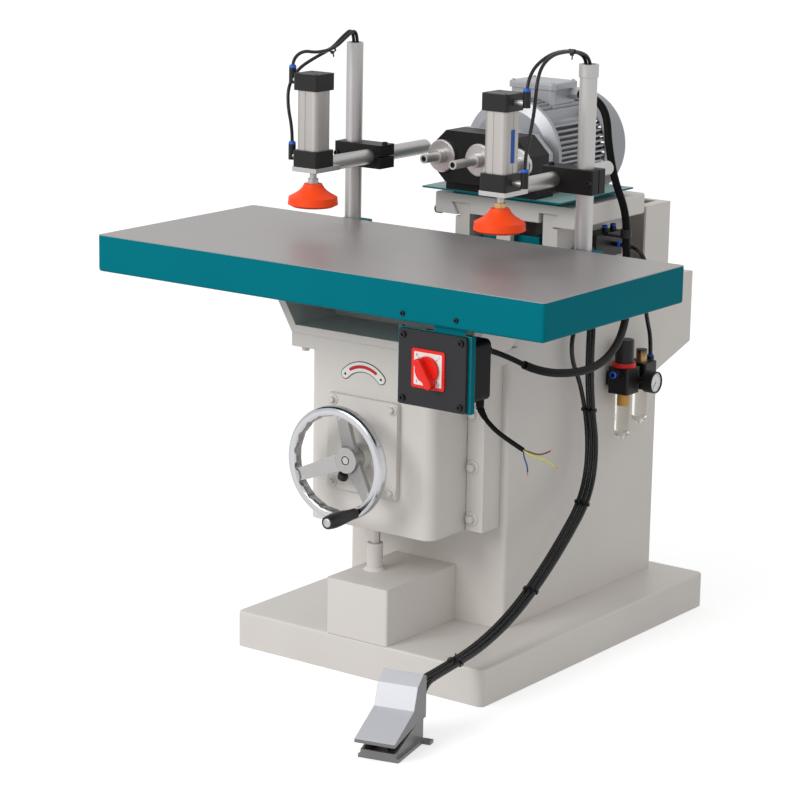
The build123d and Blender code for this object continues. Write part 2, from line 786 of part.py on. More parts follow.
with BuildPart() as table_saddle:
    with BuildSketch(facing(saddle_back)):
        outline((-foot_half, knee_top), (foot_half, knee_top),
                (saddle_half, saddle_top), (-saddle_half, saddle_top))
    extrude(amount=saddle_back - KNEE_FRONT)
    with BuildSketch(facing(saddle_back - SADDLE_BACK_WEB)):
        outline((-trough_half(trough_floor), trough_floor), (trough_half(trough_floor), trough_floor),
                (trough_half(lip_low), lip_low), (-trough_half(lip_low), lip_low))
        area(-lip_half, lip_half, lip_low, saddle_top)
    extrude(amount=saddle_back - SADDLE_BACK_WEB - KNEE_FRONT, mode=Mode.SUBTRACT)
keep(table_saddle, "table_saddle")

# Work table: cast plate with a skirt and ribs underneath, two of them over the saddle's lips
table_back = POST_Y - POST_SETBACK
table_front = table_back - TABLE_WIDTH
table_centre_y = (table_front + table_back) / 2
skirt_inside = TABLE_LENGTH / 2 - TABLE_SKIRT
pocket_depth = TABLE_HEIGHT - TABLE_PLATE
bay_edges = [(-skirt_inside, -saddle_half), (-lip_half, lip_half), (saddle_half, skirt_inside)]
with BuildPart() as work_table:
    with BuildSketch(level(saddle_top)):
        with Locations((0, table_centre_y)):
            RectangleRounded(TABLE_LENGTH, TABLE_WIDTH, TABLE_CORNER)
    extrude(amount=TABLE_HEIGHT)
    fillet(work_table.faces().sort_by(Axis.Z)[0].edges(), TABLE_FOOT_EDGE)
    chamfer(work_table.faces().sort_by(Axis.Z)[-1].edges(), TABLE_EDGE)
    with BuildSketch(level(saddle_top)):
        for bay_left, bay_right in bay_edges:
            area(bay_left, bay_right, table_front + TABLE_SKIRT, table_centre_y - TABLE_RIB / 4)
            area(bay_left, bay_right, table_centre_y + TABLE_RIB / 4, table_back - TABLE_SKIRT)
    extrude(amount=pocket_depth, mode=Mode.SUBTRACT)
keep(work_table, "work_table")

# Posts: two tubes behind the table with open tops; the right one wears a ring
post_foot = saddle_top - POST_SINK
post_top = TABLE_TOP + POST_RISE
with BuildPart() as clamp_posts:
    with BuildSketch(level(post_foot)):
        with Locations((-POST_X, POST_Y), (POST_X, POST_Y)):
            Circle(POST_R)
    extrude(amount=post_top - post_foot)
    with BuildSketch(level(post_top - POST_RING)):
        with Locations((POST_X, POST_Y)):
            Circle(POST_RING_R)
    extrude(amount=POST_RING)
    with BuildSketch(level(post_foot)):
        with Locations((-POST_X, POST_Y), (POST_X, POST_Y)):
            Circle(POST_R - POST_WALL)
    extrude(amount=post_top - post_foot, mode=Mode.SUBTRACT)
keep(clamp_posts, "clamp_posts")

# Brackets that hold the posts against the table's rear skirt
bracket_back = POST_Y + BRACKET_LIP + POST_R / 2
bracket_top = TABLE_TOP - BRACKET_DROP
with BuildPart() as post_brackets:
    with BuildSketch(level(bracket_top - BRACKET_HEIGHT)) as bracket_section:
        for side in (-1, 1):
            area(side * POST_X - BRACKET_WIDTH / 2, side * POST_X + BRACKET_WIDTH / 2,
                 table_back, bracket_back)
        fillet(bracket_section.vertices().group_by(Axis.Y)[-1], BRACKET_LIP / 2)
        with Locations((-POST_X, POST_Y), (POST_X, POST_Y)):
            Circle(POST_R + RUN_GAP, mode=Mode.SUBTRACT)
    extrude(amount=BRACKET_HEIGHT)
keep(post_brackets, "post_brackets")

# Hold-down clamps, left and right: block on the post, arm, cylinder, rod and pad
arm_z = TABLE_TOP + ARM_RISE
clamp_low = arm_z - CLAMP_HEIGHT / 2
cap_half = CAP_SIZE / 2
barrel_low = arm_z + CAP_HEIGHT
barrel_top = barrel_low + BARREL_LENGTH
pad_low = TABLE_TOP + PAD_GAP
pad_top = pad_low + PAD_HEIGHT
piston_top = barrel_top - SEAT_GAP
elbow_x = ARM_X + cap_half + ELBOW_STUB
for side, hand in ((-1, "left"), (1, "right")):
    post_x = side * POST_X
    arm_x = side * ARM_X
    inner_x = side * (ARM_X - ARM_R - CLAMP_CHEEK)
    outer_x = side * (POST_X + POST_R + CLAMP_CHEEK)
    with BuildPart() as clamp_block:
        with BuildSketch(level(clamp_low)):
            with Locations(((inner_x + outer_x) / 2, POST_Y)):
                RectangleRounded(abs(outer_x - inner_x), CLAMP_DEPTH, CLAMP_EDGE)
            with Locations((post_x, POST_Y)):
                Circle(POST_R + RUN_GAP, mode=Mode.SUBTRACT)
            with Locations(((post_x + outer_x) / 2, POST_Y)):
                Rectangle(abs(outer_x - post_x), CLAMP_SLIT, mode=Mode.SUBTRACT)
        extrude(amount=CLAMP_HEIGHT)
        with BuildSketch(facing(POST_Y + CLAMP_DEPTH / 2, arm_x, arm_z)):
            Circle(ARM_R + RUN_GAP)
            with Locations(((inner_x - arm_x) / 2, 0)):
                Rectangle(abs(inner_x - arm_x), CLAMP_SLIT)
        extrude(amount=CLAMP_DEPTH, mode=Mode.SUBTRACT)
    keep(clamp_block, f"{hand}_clamp_block")

    with BuildPart() as clamp_arm:
        with BuildSketch(facing(ARM_BACK, arm_x, arm_z)):
            Circle(ARM_R)
        extrude(amount=ARM_BACK - ARM_FRONT)
        fillet(clamp_arm.edges().group_by(Axis.Y)[-1], ARM_END)
        with BuildSketch(level(arm_z)):
            area(arm_x - SHOE_WIDTH / 2, arm_x + SHOE_WIDTH / 2, CYLINDER_Y - cap_half, ARM_FRONT + SHOE_LAP)
        extrude(amount=-SHOE_THICK)
        with BuildSketch(level(arm_z)):
            with Locations((arm_x, CYLINDER_Y)):
                Circle(ROD_R + SEAT_GAP)
        extrude(amount=-SHOE_THICK, mode=Mode.SUBTRACT)
    keep(clamp_arm, f"{hand}_clamp_arm")

    with BuildPart() as cylinder_barrel:
        with BuildSketch(level(barrel_low)):
            with Locations((arm_x, CYLINDER_Y)):
                RectangleRounded(BARREL_SIZE, BARREL_SIZE, BARREL_CORNER)
                Circle(BARREL_BORE_R, mode=Mode.SUBTRACT)
                with PolarLocations(BARREL_SIZE / 2, 4):
                    Rectangle(1.5, BARREL_GROOVE, mode=Mode.SUBTRACT)
        extrude(amount=BARREL_LENGTH)
    keep(cylinder_barrel, f"{hand}_cylinder_barrel")

    with BuildPart() as cylinder_caps:
        with BuildSketch(level(arm_z)):
            with Locations((arm_x, CYLINDER_Y)):
                RectangleRounded(CAP_SIZE, CAP_SIZE, CAP_CORNER)
                Circle(ROD_R + SEAT_GAP, mode=Mode.SUBTRACT)
        extrude(amount=CAP_HEIGHT)
        with BuildSketch(level(barrel_top)):
            with Locations((arm_x, CYLINDER_Y)):
                RectangleRounded(CAP_SIZE, CAP_SIZE, CAP_CORNER)
        extrude(amount=CAP_HEIGHT)
        for cap_low in (arm_z, barrel_top):
            port_z = cap_low + CAP_HEIGHT / 2
            with BuildSketch(Plane(origin=(arm_x + side * cap_half, CYLINDER_Y, port_z),
                                   x_dir=(0, 1, 0), z_dir=(side, 0, 0))):
                Circle(ELBOW_STUB_R)
            extrude(amount=ELBOW_STUB)
            with BuildSketch(level(port_z - ELBOW_FOOT)):
                with Locations((side * elbow_x, CYLINDER_Y)):
                    Circle(ELBOW_R)
            extrude(amount=ELBOW_FOOT + ELBOW_RISE)
    keep(cylinder_caps, f"{hand}_cylinder_caps")

    with BuildPart() as press_rod:
        with BuildSketch(level(pad_top)):
            with Locations((arm_x, CYLINDER_Y)):
                Circle(ROD_R)
        extrude(amount=piston_top - pad_top)
        with BuildSketch(level(piston_top)):
            with Locations((arm_x, CYLINDER_Y)):
                Circle(BARREL_BORE_R - RUN_GAP)
        extrude(amount=-PISTON_HEIGHT)
        with BuildSketch(level(pad_top)):
            with Locations((arm_x, CYLINDER_Y)):
                RegularPolygon(NUT_FLATS_R, 6)
        extrude(amount=NUT_HEIGHT)
    keep(press_rod, f"{hand}_press_rod")

    with BuildPart() as press_pad:
        with BuildSketch(Plane(origin=(arm_x, CYLINDER_Y, pad_low), x_dir=(1, 0, 0), z_dir=(0, -1, 0))):
            with BuildLine():
                Line((0, PAD_WALL), (PAD_R - PAD_BEVEL, 0))
                Line((PAD_R - PAD_BEVEL, 0), (PAD_R, PAD_EDGE))
                Line((PAD_R, PAD_EDGE), (PAD_R - PAD_DRAFT, PAD_LIP))
                Spline((PAD_R - PAD_DRAFT, PAD_LIP), (PAD_NECK_R + PAD_FLARE, PAD_LIP + PAD_FLARE / 2),
                       (PAD_NECK_R + PAD_WAIST, PAD_HEIGHT - 2 * PAD_WAIST), (PAD_NECK_R, PAD_HEIGHT))
                Line((PAD_NECK_R, PAD_HEIGHT), (0, PAD_HEIGHT))
                Line((0, PAD_HEIGHT), (0, PAD_WALL))
            make_face()
        revolve(axis=Axis((arm_x, CYLINDER_Y, 0), (0, 0, 1)))
    keep(press_pad, f"{hand}_press_pad")

# Slide bed: open-fronted trough whose two walls end in outward dovetail ways
bed_top = COLUMN_TOP + BED_HEIGHT
bed_half = BED_WIDTH / 2
way_low = bed_top - BED_WAY
bed_length = BED_BACK - BED_FRONT
with BuildPart() as slide_bed:
    with BuildSketch(facing(BED_BACK)):
        area(-bed_half, bed_half, COLUMN_TOP, way_low - CARRIAGE_LIFT)
        outline((-BED_WAY_ROOT / 2, way_low - CARRIAGE_LIFT), (BED_WAY_ROOT / 2, way_low - CARRIAGE_LIFT),
                (BED_WAY_ROOT / 2, way_low), (BED_WAY_TIP / 2, bed_top),
                (-BED_WAY_TIP / 2, bed_top), (-BED_WAY_ROOT / 2, way_low))
        area(BED_WALL - bed_half, bed_half - BED_WALL, COLUMN_TOP + BED_FLOOR, bed_top, mode=Mode.SUBTRACT)
    extrude(amount=bed_length)
    with BuildSketch(facing(BED_BACK)):
        area(BED_WALL - bed_half, bed_half - BED_WALL, COLUMN_TOP + BED_FLOOR, way_low)
    extrude(amount=BED_BACK_WEB)
keep(slide_bed, "slide_bed")

# Carriage: plate with dovetail keepers over the ways, a lug down to the feed rod and a trough
# that leaves room for the underside of the motor
carriage_low = way_low + CARRIAGE_LIFT
carriage_top = bed_top + SLIDE_GAP + CARRIAGE_PLATE
carriage_half = CARRIAGE_WIDTH / 2
carriage_back = CARRIAGE_FRONT + CARRIAGE_LENGTH
keeper_root = BED_WAY_ROOT / 2 + (BED_WAY_TIP - BED_WAY_ROOT) / 2 * CARRIAGE_LIFT / BED_WAY
feed_z = bed_top - FEED_DROP
riser_top = carriage_top + RISER_HEIGHT
sheet_top = riser_top + SHEET_THICK
foot_top = sheet_top + FOOT_HEIGHT
head_z = foot_top + GEARBOX_HEIGHT / 2
motor_room = SHIELD_R + MOTOR_GAP
trough_low = head_z - motor_room
trough_half = sqrt(motor_room ** 2 - (head_z - carriage_top) ** 2)
riser_gap_half = sqrt(motor_room ** 2 - (head_z - sheet_top) ** 2)
trough_back = BRIDGE_BACK + TROUGH_LENGTH
with BuildPart() as carriage:
    with BuildSketch(facing(carriage_back)) as carriage_section:
        area(-carriage_half, carriage_half, carriage_low, carriage_top)
        fillet(carriage_section.vertices(), CARRIAGE_EDGE)
        outline((-keeper_root - SLIDE_GAP, carriage_low), (keeper_root + SLIDE_GAP, carriage_low),
                (BED_WAY_TIP / 2 + SLIDE_GAP, bed_top + SLIDE_GAP),
                (-BED_WAY_TIP / 2 - SLIDE_GAP, bed_top + SLIDE_GAP), mode=Mode.SUBTRACT)
    extrude(amount=CARRIAGE_LENGTH)
    with BuildSketch(facing(CARRIAGE_FRONT + LUG_THICK)):
        area(-LUG_WIDTH / 2, LUG_WIDTH / 2, feed_z - LUG_LOW, carriage_top)
    extrude(amount=LUG_THICK)
    with BuildSketch(facing(trough_back)):
        area(-trough_half - TROUGH_WALL, trough_half + TROUGH_WALL, trough_low - TROUGH_FLOOR, carriage_top)
    extrude(amount=trough_back - CARRIAGE_FRONT)
    with BuildSketch(facing(carriage_back)):
        area(-trough_half, trough_half, trough_low, carriage_top)
    extrude(amount=carriage_back - BRIDGE_BACK, mode=Mode.SUBTRACT)
keep(carriage, "carriage")

# Riser block on the carriage and the thin swarf sheet over it; both fork around the motor
with BuildPart() as head_riser:
    with BuildSketch(level(riser_top)):
        area(-SHEET_WIDTH / 2, SHEET_WIDTH / 2, SHEET_FRONT, SHEET_FRONT + SHEET_LENGTH)
        area(-riser_gap_half, riser_gap_half, BRIDGE_BACK, SHEET_FRONT + SHEET_LENGTH, mode=Mode.SUBTRACT)
    extrude(amount=SHEET_THICK)
    with BuildSketch(level(carriage_top)):
        area(-RISER_WIDTH / 2, RISER_WIDTH / 2, CARRIAGE_FRONT, CARRIAGE_FRONT + RISER_LENGTH)
        area(-riser_gap_half, riser_gap_half, BRIDGE_BACK, CARRIAGE_FRONT + RISER_LENGTH, mode=Mode.SUBTRACT)
    extrude(amount=RISER_HEIGHT)
keep(head_riser, "head_riser")

# Feed cylinder along the bed, held at the front by a bracket on the bed's floor
bed_floor_top = COLUMN_TOP + BED_FLOOR
feed_front = BED_FRONT + LUG_THICK + FEED_GAP
feed_back = feed_front + FEED_LENGTH
piston_back = feed_back - FEED_CAP - SEAT_GAP
with BuildPart() as feed_cylinder:
    with BuildSketch(facing(feed_back, 0, feed_z)):
        Circle(FEED_R)
    extrude(amount=FEED_LENGTH)
    with BuildSketch(facing(feed_back - FEED_CAP, 0, feed_z)):
        Circle(FEED_BORE_R)
    extrude(amount=FEED_LENGTH - 2 * FEED_CAP, mode=Mode.SUBTRACT)
    with BuildSketch(facing(feed_front + FEED_BRACKET)):
        area(-FEED_BRACKET_WIDTH / 2, FEED_BRACKET_WIDTH / 2,
             bed_floor_top, bed_floor_top + FEED_BRACKET_HEIGHT)
    extrude(amount=FEED_BRACKET)
    with BuildSketch(facing(feed_front + FEED_CAP, 0, feed_z)):
        Circle(FEED_ROD_R + RUN_GAP)
    extrude(amount=FEED_CAP, mode=Mode.SUBTRACT)
keep(feed_cylinder, "feed_cylinder")

# Feed rod with its piston; the front end butts against the carriage's lug
with BuildPart() as feed_rod:
    with BuildSketch(facing(piston_back, 0, feed_z)):
        Circle(FEED_ROD_R)
    extrude(amount=piston_back - CARRIAGE_FRONT - LUG_THICK)
    with BuildSketch(facing(piston_back, 0, feed_z)):
        Circle(FEED_BORE_R - RUN_GAP)
    extrude(amount=FEED_PISTON)
keep(feed_rod, "feed_rod")

# Rear housing: folded sheet box behind the bed, open at the front, with a slot in its roof
housing_half = HOUSING_WIDTH / 2
housing_top = COLUMN_TOP + HOUSING_HEIGHT
housing_back = HOUSING_FRONT + HOUSING_LENGTH
with BuildPart() as rear_housing:
    with BuildSketch(level(COLUMN_TOP)):
        area(-housing_half, housing_half, HOUSING_FRONT, housing_back)
    extrude(amount=HOUSING_HEIGHT)
    with BuildSketch(level(COLUMN_TOP)):
        area(HOUSING_SHEET - housing_half, housing_half - HOUSING_SHEET,
             HOUSING_FRONT, housing_back - HOUSING_SHEET)
    extrude(amount=HOUSING_HEIGHT - HOUSING_SHEET, mode=Mode.SUBTRACT)
    with BuildSketch(level(housing_top)):
        with Locations((housing_half - HOUSING_SLOT, HOUSING_FRONT + HOUSING_LENGTH / 2)):
            RectangleRounded(HOUSING_SLOT, HOUSING_SLOT_LENGTH, HOUSING_SHEET)
    extrude(amount=-HOUSING_SHEET, mode=Mode.SUBTRACT)
keep(rear_housing, "rear_housing")

# Gearbox housing: eight-sided case on a foot, open at the back, with a bored face and idler pins
gearbox_back = GEARBOX_FRONT + GEARBOX_DEPTH
gear_room = GEARBOX_FRONT + GEARBOX_FACE
gear_start = gear_room + SEAT_GAP
gear_end = gear_start + GEAR_FACE
idler_x = SPINDLE_PITCH / 2
gear_teeth = round(SPINDLE_PITCH / 2 / GEAR_MODULE)
spindle_x = {"left": -SPINDLE_PITCH, "centre": 0, "right": SPINDLE_PITCH}


def case_points(inset):
    """Corners of the gearbox's eight-sided outline about the spindle axis, moved inwards by inset."""
    half_x = GEARBOX_WIDTH / 2
    half_z = GEARBOX_HEIGHT / 2
    slant = inset * sqrt(GEARBOX_CUT_X ** 2 + GEARBOX_CUT_Z ** 2)
    reach = half_x * GEARBOX_CUT_Z + (half_z - GEARBOX_CUT_Z) * GEARBOX_CUT_X - slant
    flat_z = (reach - (half_x - inset) * GEARBOX_CUT_Z) / GEARBOX_CUT_X
    flat_x = (reach - (half_z - inset) * GEARBOX_CUT_X) / GEARBOX_CUT_Z
    quarter = [(half_x - inset, flat_z), (flat_x, half_z - inset)]
    upper = quarter + [(-x, z) for x, z in reversed(quarter)]
    return upper + [(-x, -z) for x, z in upper]


with BuildPart() as gearbox_housing:
    with BuildSketch(facing(gearbox_back, 0, head_z)):
        outline(*case_points(0))
    extrude(amount=GEARBOX_DEPTH)
    with BuildSketch(facing(gearbox_back, 0, head_z)):
        outline(*case_points(GEARBOX_WALL))
    extrude(amount=gearbox_back - gear_room, mode=Mode.SUBTRACT)
    with BuildSketch(facing(gear_room, 0, head_z)):
        with Locations(*[(x, 0) for x in spindle_x.values()]):
            Circle(SPINDLE_R + RUN_GAP)
    extrude(amount=GEARBOX_FACE, mode=Mode.SUBTRACT)
    with BuildSketch(facing(gear_end + GEAR_FACE / 2, 0, head_z)):
        with Locations((-idler_x, 0), (idler_x, 0)):
            Circle(IDLER_PIN_R)
    extrude(amount=gear_end + GEAR_FACE / 2 - gear_room)
    with BuildSketch(level(sheet_top)):
        area(-FOOT_WIDTH / 2, FOOT_WIDTH / 2, SHEET_FRONT, BRIDGE_BACK)
    extrude(amount=FOOT_HEIGHT)
keep(gearbox_housing, "gearbox_housing")

# Bearing flanges on the gearbox's front
flange_front = GEARBOX_FRONT - FLANGE_THICK
with BuildPart() as spindle_flanges:
    with BuildSketch(facing(GEARBOX_FRONT, 0, head_z)):
        with Locations(*[(x, 0) for x in spindle_x.values()]):
            Circle(FLANGE_R)
            Circle(SPINDLE_R + RUN_GAP, mode=Mode.SUBTRACT)
    extrude(amount=FLANGE_THICK)
    flange_rims = spindle_flanges.edges().filter_by(GeomType.CIRCLE).group_by(Axis.Y)[0]
    chamfer(flange_rims.group_by(SortBy.RADIUS)[-1], FLANGE_EDGE)
keep(spindle_flanges, "spindle_flanges")

# Spindles: shaft, gear, collar and bored chuck on one axis
for name, x in spindle_x.items():
    chuck_end = CHUCK_ENDS[name]
    spindle_back = SHIELD_FRONT if name == "centre" else gearbox_back + POCKET_DEPTH - SEAT_GAP
    collar_back = flange_front - SEAT_GAP
    with BuildPart() as spindle:
        with BuildSketch(facing(spindle_back, x, head_z)):
            Circle(SPINDLE_R)
        extrude(amount=spindle_back - collar_back)
        with BuildSketch(facing(gear_end, x, head_z)):
            outline(*gear_points(GEAR_MODULE, gear_teeth, GEAR_BACKLASH))
        extrude(amount=GEAR_FACE)
        with BuildSketch(facing(collar_back, x, head_z)):
            Circle(COLLAR_R)
        extrude(amount=COLLAR_LENGTH)
        with BuildSketch(facing(collar_back - COLLAR_LENGTH, x, head_z)):
            Circle(CHUCK_R)
        extrude(amount=collar_back - COLLAR_LENGTH - chuck_end)
        with BuildSketch(facing(chuck_end, x, head_z)):
            Circle(CHUCK_BORE_R)
        extrude(amount=-CHUCK_BORE_DEPTH, mode=Mode.SUBTRACT)
    keep(spindle, f"{name}_spindle")

# Idler gears between the spindles, turned half a tooth to mesh
for side, hand in ((-1, "left"), (1, "right")):
    with BuildPart() as idler:
        with BuildSketch(facing(gear_end, side * idler_x, head_z)):
            outline(*gear_points(GEAR_MODULE, gear_teeth, GEAR_BACKLASH, 1.0, pi / gear_teeth))
            Circle(IDLER_PIN_R + RUN_GAP, mode=Mode.SUBTRACT)
        extrude(amount=GEAR_FACE)
    keep(idler, f"{hand}_idler")

# Motor end shield: closes the gearbox, then a neck widens to the motor's rim
shield_face = SHIELD_FRONT + SHIELD_NECK
shield_back = shield_face + SHIELD_SLOPE + SHIELD_RIM
with BuildPart() as end_shield:
    with BuildSketch(facing(SHIELD_FRONT, 0, head_z)):
        outline(*case_points(0))
    extrude(amount=SHIELD_FRONT - gearbox_back)
    with BuildSketch(level(head_z)):
        outline((0, gearbox_back), (SHIELD_NECK_R, gearbox_back), (SHIELD_NECK_R, shield_face),
                (SHIELD_FACE_R, shield_face), (SHIELD_R, shield_face + SHIELD_SLOPE),
                (SHIELD_R, shield_back), (0, shield_back))
    revolve(axis=Axis((0, 0, head_z), (0, 1, 0)))
    with BuildSketch(facing(shield_back, 0, head_z)):
        Circle(MOTOR_SHAFT_R + RUN_GAP)
    extrude(amount=shield_back - SHIELD_FRONT, mode=Mode.SUBTRACT)
    with BuildSketch(facing(SHIELD_FRONT, 0, head_z)):
        Circle(SPINDLE_R + RUN_GAP)
    extrude(amount=SHIELD_FRONT - gearbox_back, mode=Mode.SUBTRACT)
    with BuildSketch(facing(gearbox_back + POCKET_DEPTH, 0, head_z)):
        with Locations((-SPINDLE_PITCH, 0), (SPINDLE_PITCH, 0)):
            Circle(SPINDLE_R + RUN_GAP)
    extrude(amount=POCKET_DEPTH, mode=Mode.SUBTRACT)
keep(end_shield, "end_shield")

# Motor frame: tube with level fins at the sides, upright fins above and below, and a pad on top
frame_back = shield_back + FRAME_LENGTH
fin_r = FAN_COVER_R - FAN_COVER_SHEET - SEAT_GAP
fin_offsets = [FIN_PITCH * (row - (FIN_ROWS - 1) / 2) for row in range(FIN_ROWS)]
terminal_end = TERMINAL_START + TERMINAL_LENGTH
pad_z = head_z + FRAME_R + FIN_THICK
with BuildPart() as motor_frame:
    with BuildSketch(facing(frame_back, 0, head_z)):
        Circle(FRAME_R)
        for across in fin_offsets:
            reach = 2 * sqrt(fin_r ** 2 - (abs(across) + FIN_THICK / 2) ** 2)
            with Locations((0, across)):
                Rectangle(reach, FIN_THICK)
            with Locations((across, 0)):
                Rectangle(FIN_THICK, reach)
    extrude(amount=FRAME_LENGTH)
    with BuildSketch(level(pad_z)):
        area(-TERMINAL_WIDTH / 2, TERMINAL_WIDTH / 2, TERMINAL_START, terminal_end)
    extrude(amount=fin_r - FRAME_R, mode=Mode.SUBTRACT)
    with BuildSketch(level(pad_z)):
        area(-TERMINAL_WIDTH / 2, TERMINAL_WIDTH / 2, TERMINAL_START, terminal_end)
    extrude(amount=FRAME_BORE_R - FRAME_R)
    with BuildSketch(facing(frame_back - FRAME_END, 0, head_z)):
        Circle(FRAME_BORE_R)
    extrude(amount=FRAME_LENGTH - FRAME_END, mode=Mode.SUBTRACT)
    with BuildSketch(facing(frame_back, 0, head_z)):
        Circle(MOTOR_SHAFT_R + RUN_GAP)
    extrude(amount=FRAME_END, mode=Mode.SUBTRACT)
keep(motor_frame, "motor_frame")

# Rotor: shaft, core and the bladed cooling fan behind the frame
rotor_start = shield_back + (FRAME_LENGTH - FRAME_END - ROTOR_LENGTH) / 2
fan_start = frame_back + FAN_DEPTH / 4
fan_end = fan_start + FAN_DEPTH
with BuildPart() as motor_rotor:
    with BuildSketch(facing(fan_end, 0, head_z)):
        Circle(MOTOR_SHAFT_R)
    extrude(amount=fan_end - SHIELD_FRONT)
    with BuildSketch(facing(rotor_start + ROTOR_LENGTH, 0, head_z)):
        Circle(FRAME_BORE_R - ROTOR_GAP)
    extrude(amount=ROTOR_LENGTH)
    with BuildSketch(facing(fan_end, 0, head_z)):
        Circle(FAN_HUB_R)
        with PolarLocations(0, FAN_BLADES):
            area(0, FAN_R, -FAN_BLADE / 2, FAN_BLADE / 2)
    extrude(amount=FAN_DEPTH)
keep(motor_rotor, "motor_rotor")

# Fan cover: pressed cup over the fins' rear ends, with a slotted back
cover_start = frame_back - FRAME_END
cover_end = frame_back + FAN_COVER_LENGTH
with BuildPart() as fan_cover:
    with BuildSketch(facing(cover_end, 0, head_z)):
        Circle(FAN_COVER_R)
    extrude(amount=cover_end - cover_start)
    fillet(fan_cover.edges().group_by(Axis.Y)[-1], FAN_COVER_EDGE)
    offset(amount=-FAN_COVER_SHEET, openings=fan_cover.faces().sort_by(Axis.Y)[0])
    with BuildSketch(facing(cover_end, 0, head_z)):
        with PolarLocations((GRILLE_INNER + GRILLE_OUTER) / 2, GRILLE_SLOTS):
            SlotOverall(GRILLE_OUTER - GRILLE_INNER, GRILLE_SLOT)
    extrude(amount=FAN_COVER_SHEET, mode=Mode.SUBTRACT)
keep(fan_cover, "fan_cover")

# Terminal box: cast box and lid on the frame's pad, with a cable gland to the right
lid_low = head_z + TERMINAL_TOP - TERMINAL_LID
terminal_y = TERMINAL_START + TERMINAL_LENGTH / 2
gland_y = TERMINAL_START + GLAND_BACK
gland_z = head_z + TERMINAL_TOP - GLAND_DROP
gland_end = TERMINAL_WIDTH / 2 + GLAND_LENGTH
with BuildPart() as terminal_box:
    with BuildSketch(level(pad_z)):
        with Locations((0, terminal_y)):
            RectangleRounded(TERMINAL_WIDTH - 2 * TERMINAL_LID_EDGE, TERMINAL_LENGTH - 2 * TERMINAL_LID_EDGE,
                             TERMINAL_CORNER)
    extrude(amount=lid_low - pad_z)
    with BuildSketch(level(lid_low)):
        with Locations((0, terminal_y)):
            RectangleRounded(TERMINAL_WIDTH, TERMINAL_LENGTH, TERMINAL_CORNER)
    extrude(amount=TERMINAL_LID)
    fillet(terminal_box.faces().sort_by(Axis.Z)[-1].edges(), TERMINAL_LID_EDGE)
    with BuildSketch(along(0)):
        with Locations((gland_y, gland_z)):
            RegularPolygon(GLAND_R, 6)
    extrude(amount=gland_end)
keep(terminal_box, "terminal_box")

# Switch bracket: folded plate hung behind the table's front skirt
switch_y = table_front + TABLE_SKIRT
switch_top = saddle_top - SWITCH_DROP
switch_low = switch_top - SWITCH_HEIGHT
switch_z = (switch_top + switch_low) / 2
switch_left = SWITCH_X - SWITCH_WIDTH / 2
switch_right = SWITCH_X + SWITCH_WIDTH / 2
tray_back = switch_y + SWITCH_PLATE
with BuildPart() as switch_bracket:
    with BuildSketch(facing(tray_back)):
        area(switch_left, switch_right, switch_low, switch_top)
        area(saddle_half + SEAT_GAP, switch_right - SWITCH_FLANGE, switch_top, switch_top + SWITCH_TONGUE)
    extrude(amount=SWITCH_PLATE)
    with BuildSketch(facing(switch_y + SWITCH_FLANGE)):
        area(switch_left, switch_left + SWITCH_PLATE, switch_low, switch_top)
        area(switch_right - SWITCH_PLATE, switch_right, switch_low, switch_top)
    extrude(amount=SWITCH_FLANGE)
keep(switch_bracket, "switch_bracket")

# Switch box behind the bracket with its cable glands, and the lid in front
box_back = tray_back + BOX_DEPTH
lid_front = switch_y - LID_THICK
dial_x = SWITCH_X + DIAL_X
dial_z = switch_z + DIAL_Z
box_low = switch_z - BOX_HEIGHT / 2
cable_x = SWITCH_X + BOX_GLAND_X
cable_z = switch_z + BOX_GLAND_Z
cable_y = box_back + BOX_GLAND
lead_x = SWITCH_X + LEAD_GLAND_X
lead_y = box_back - LEAD_GLAND_Y
lead_z = box_low - LEAD_GLAND
with BuildPart() as switch_box:
    with BuildSketch(facing(box_back, SWITCH_X, switch_z)):
        RectangleRounded(BOX_WIDTH, BOX_HEIGHT, BOX_CORNER)
    extrude(amount=BOX_DEPTH)
    with BuildSketch(facing(cable_y, cable_x, cable_z)):
        Circle(BOX_GLAND_R)
    extrude(amount=BOX_GLAND)
    with BuildSketch(level(lead_z)):
        with Locations((lead_x, lead_y)):
            Circle(LEAD_GLAND_R)
    extrude(amount=BOX_HEIGHT / 2)
    with BuildSketch(facing(switch_y, SWITCH_X, switch_z)):
        RectangleRounded(LID_WIDTH, LID_HEIGHT, LID_CORNER)
    extrude(amount=LID_THICK)
    with BuildSketch(facing(lid_front, dial_x, dial_z)):
        Circle(DIAL_BOSS_R)
    extrude(amount=DIAL_BOSS)
keep(switch_box, "switch_box")

# Rotary knob of the main switch: disc with a bar grip across it
knob_back = lid_front - DIAL_BOSS
with BuildPart() as switch_knob:
    with BuildSketch(facing(knob_back, dial_x, dial_z)):
        Circle(KNOB_R)
    extrude(amount=KNOB_DISC)
    with BuildSketch(facing(knob_back - KNOB_DISC, dial_x, dial_z)):
        with Locations(Rotation(0, 0, KNOB_TURN) * Pos(KNOB_BAR_SHIFT, 0)):
            SlotOverall(KNOB_BAR_LENGTH, KNOB_BAR)
    extrude(amount=KNOB_BAR_HEIGHT)
    fillet(switch_knob.faces().sort_by(Axis.Y)[0].edges(), KNOB_DISC / 2)
keep(switch_knob, "switch_knob")

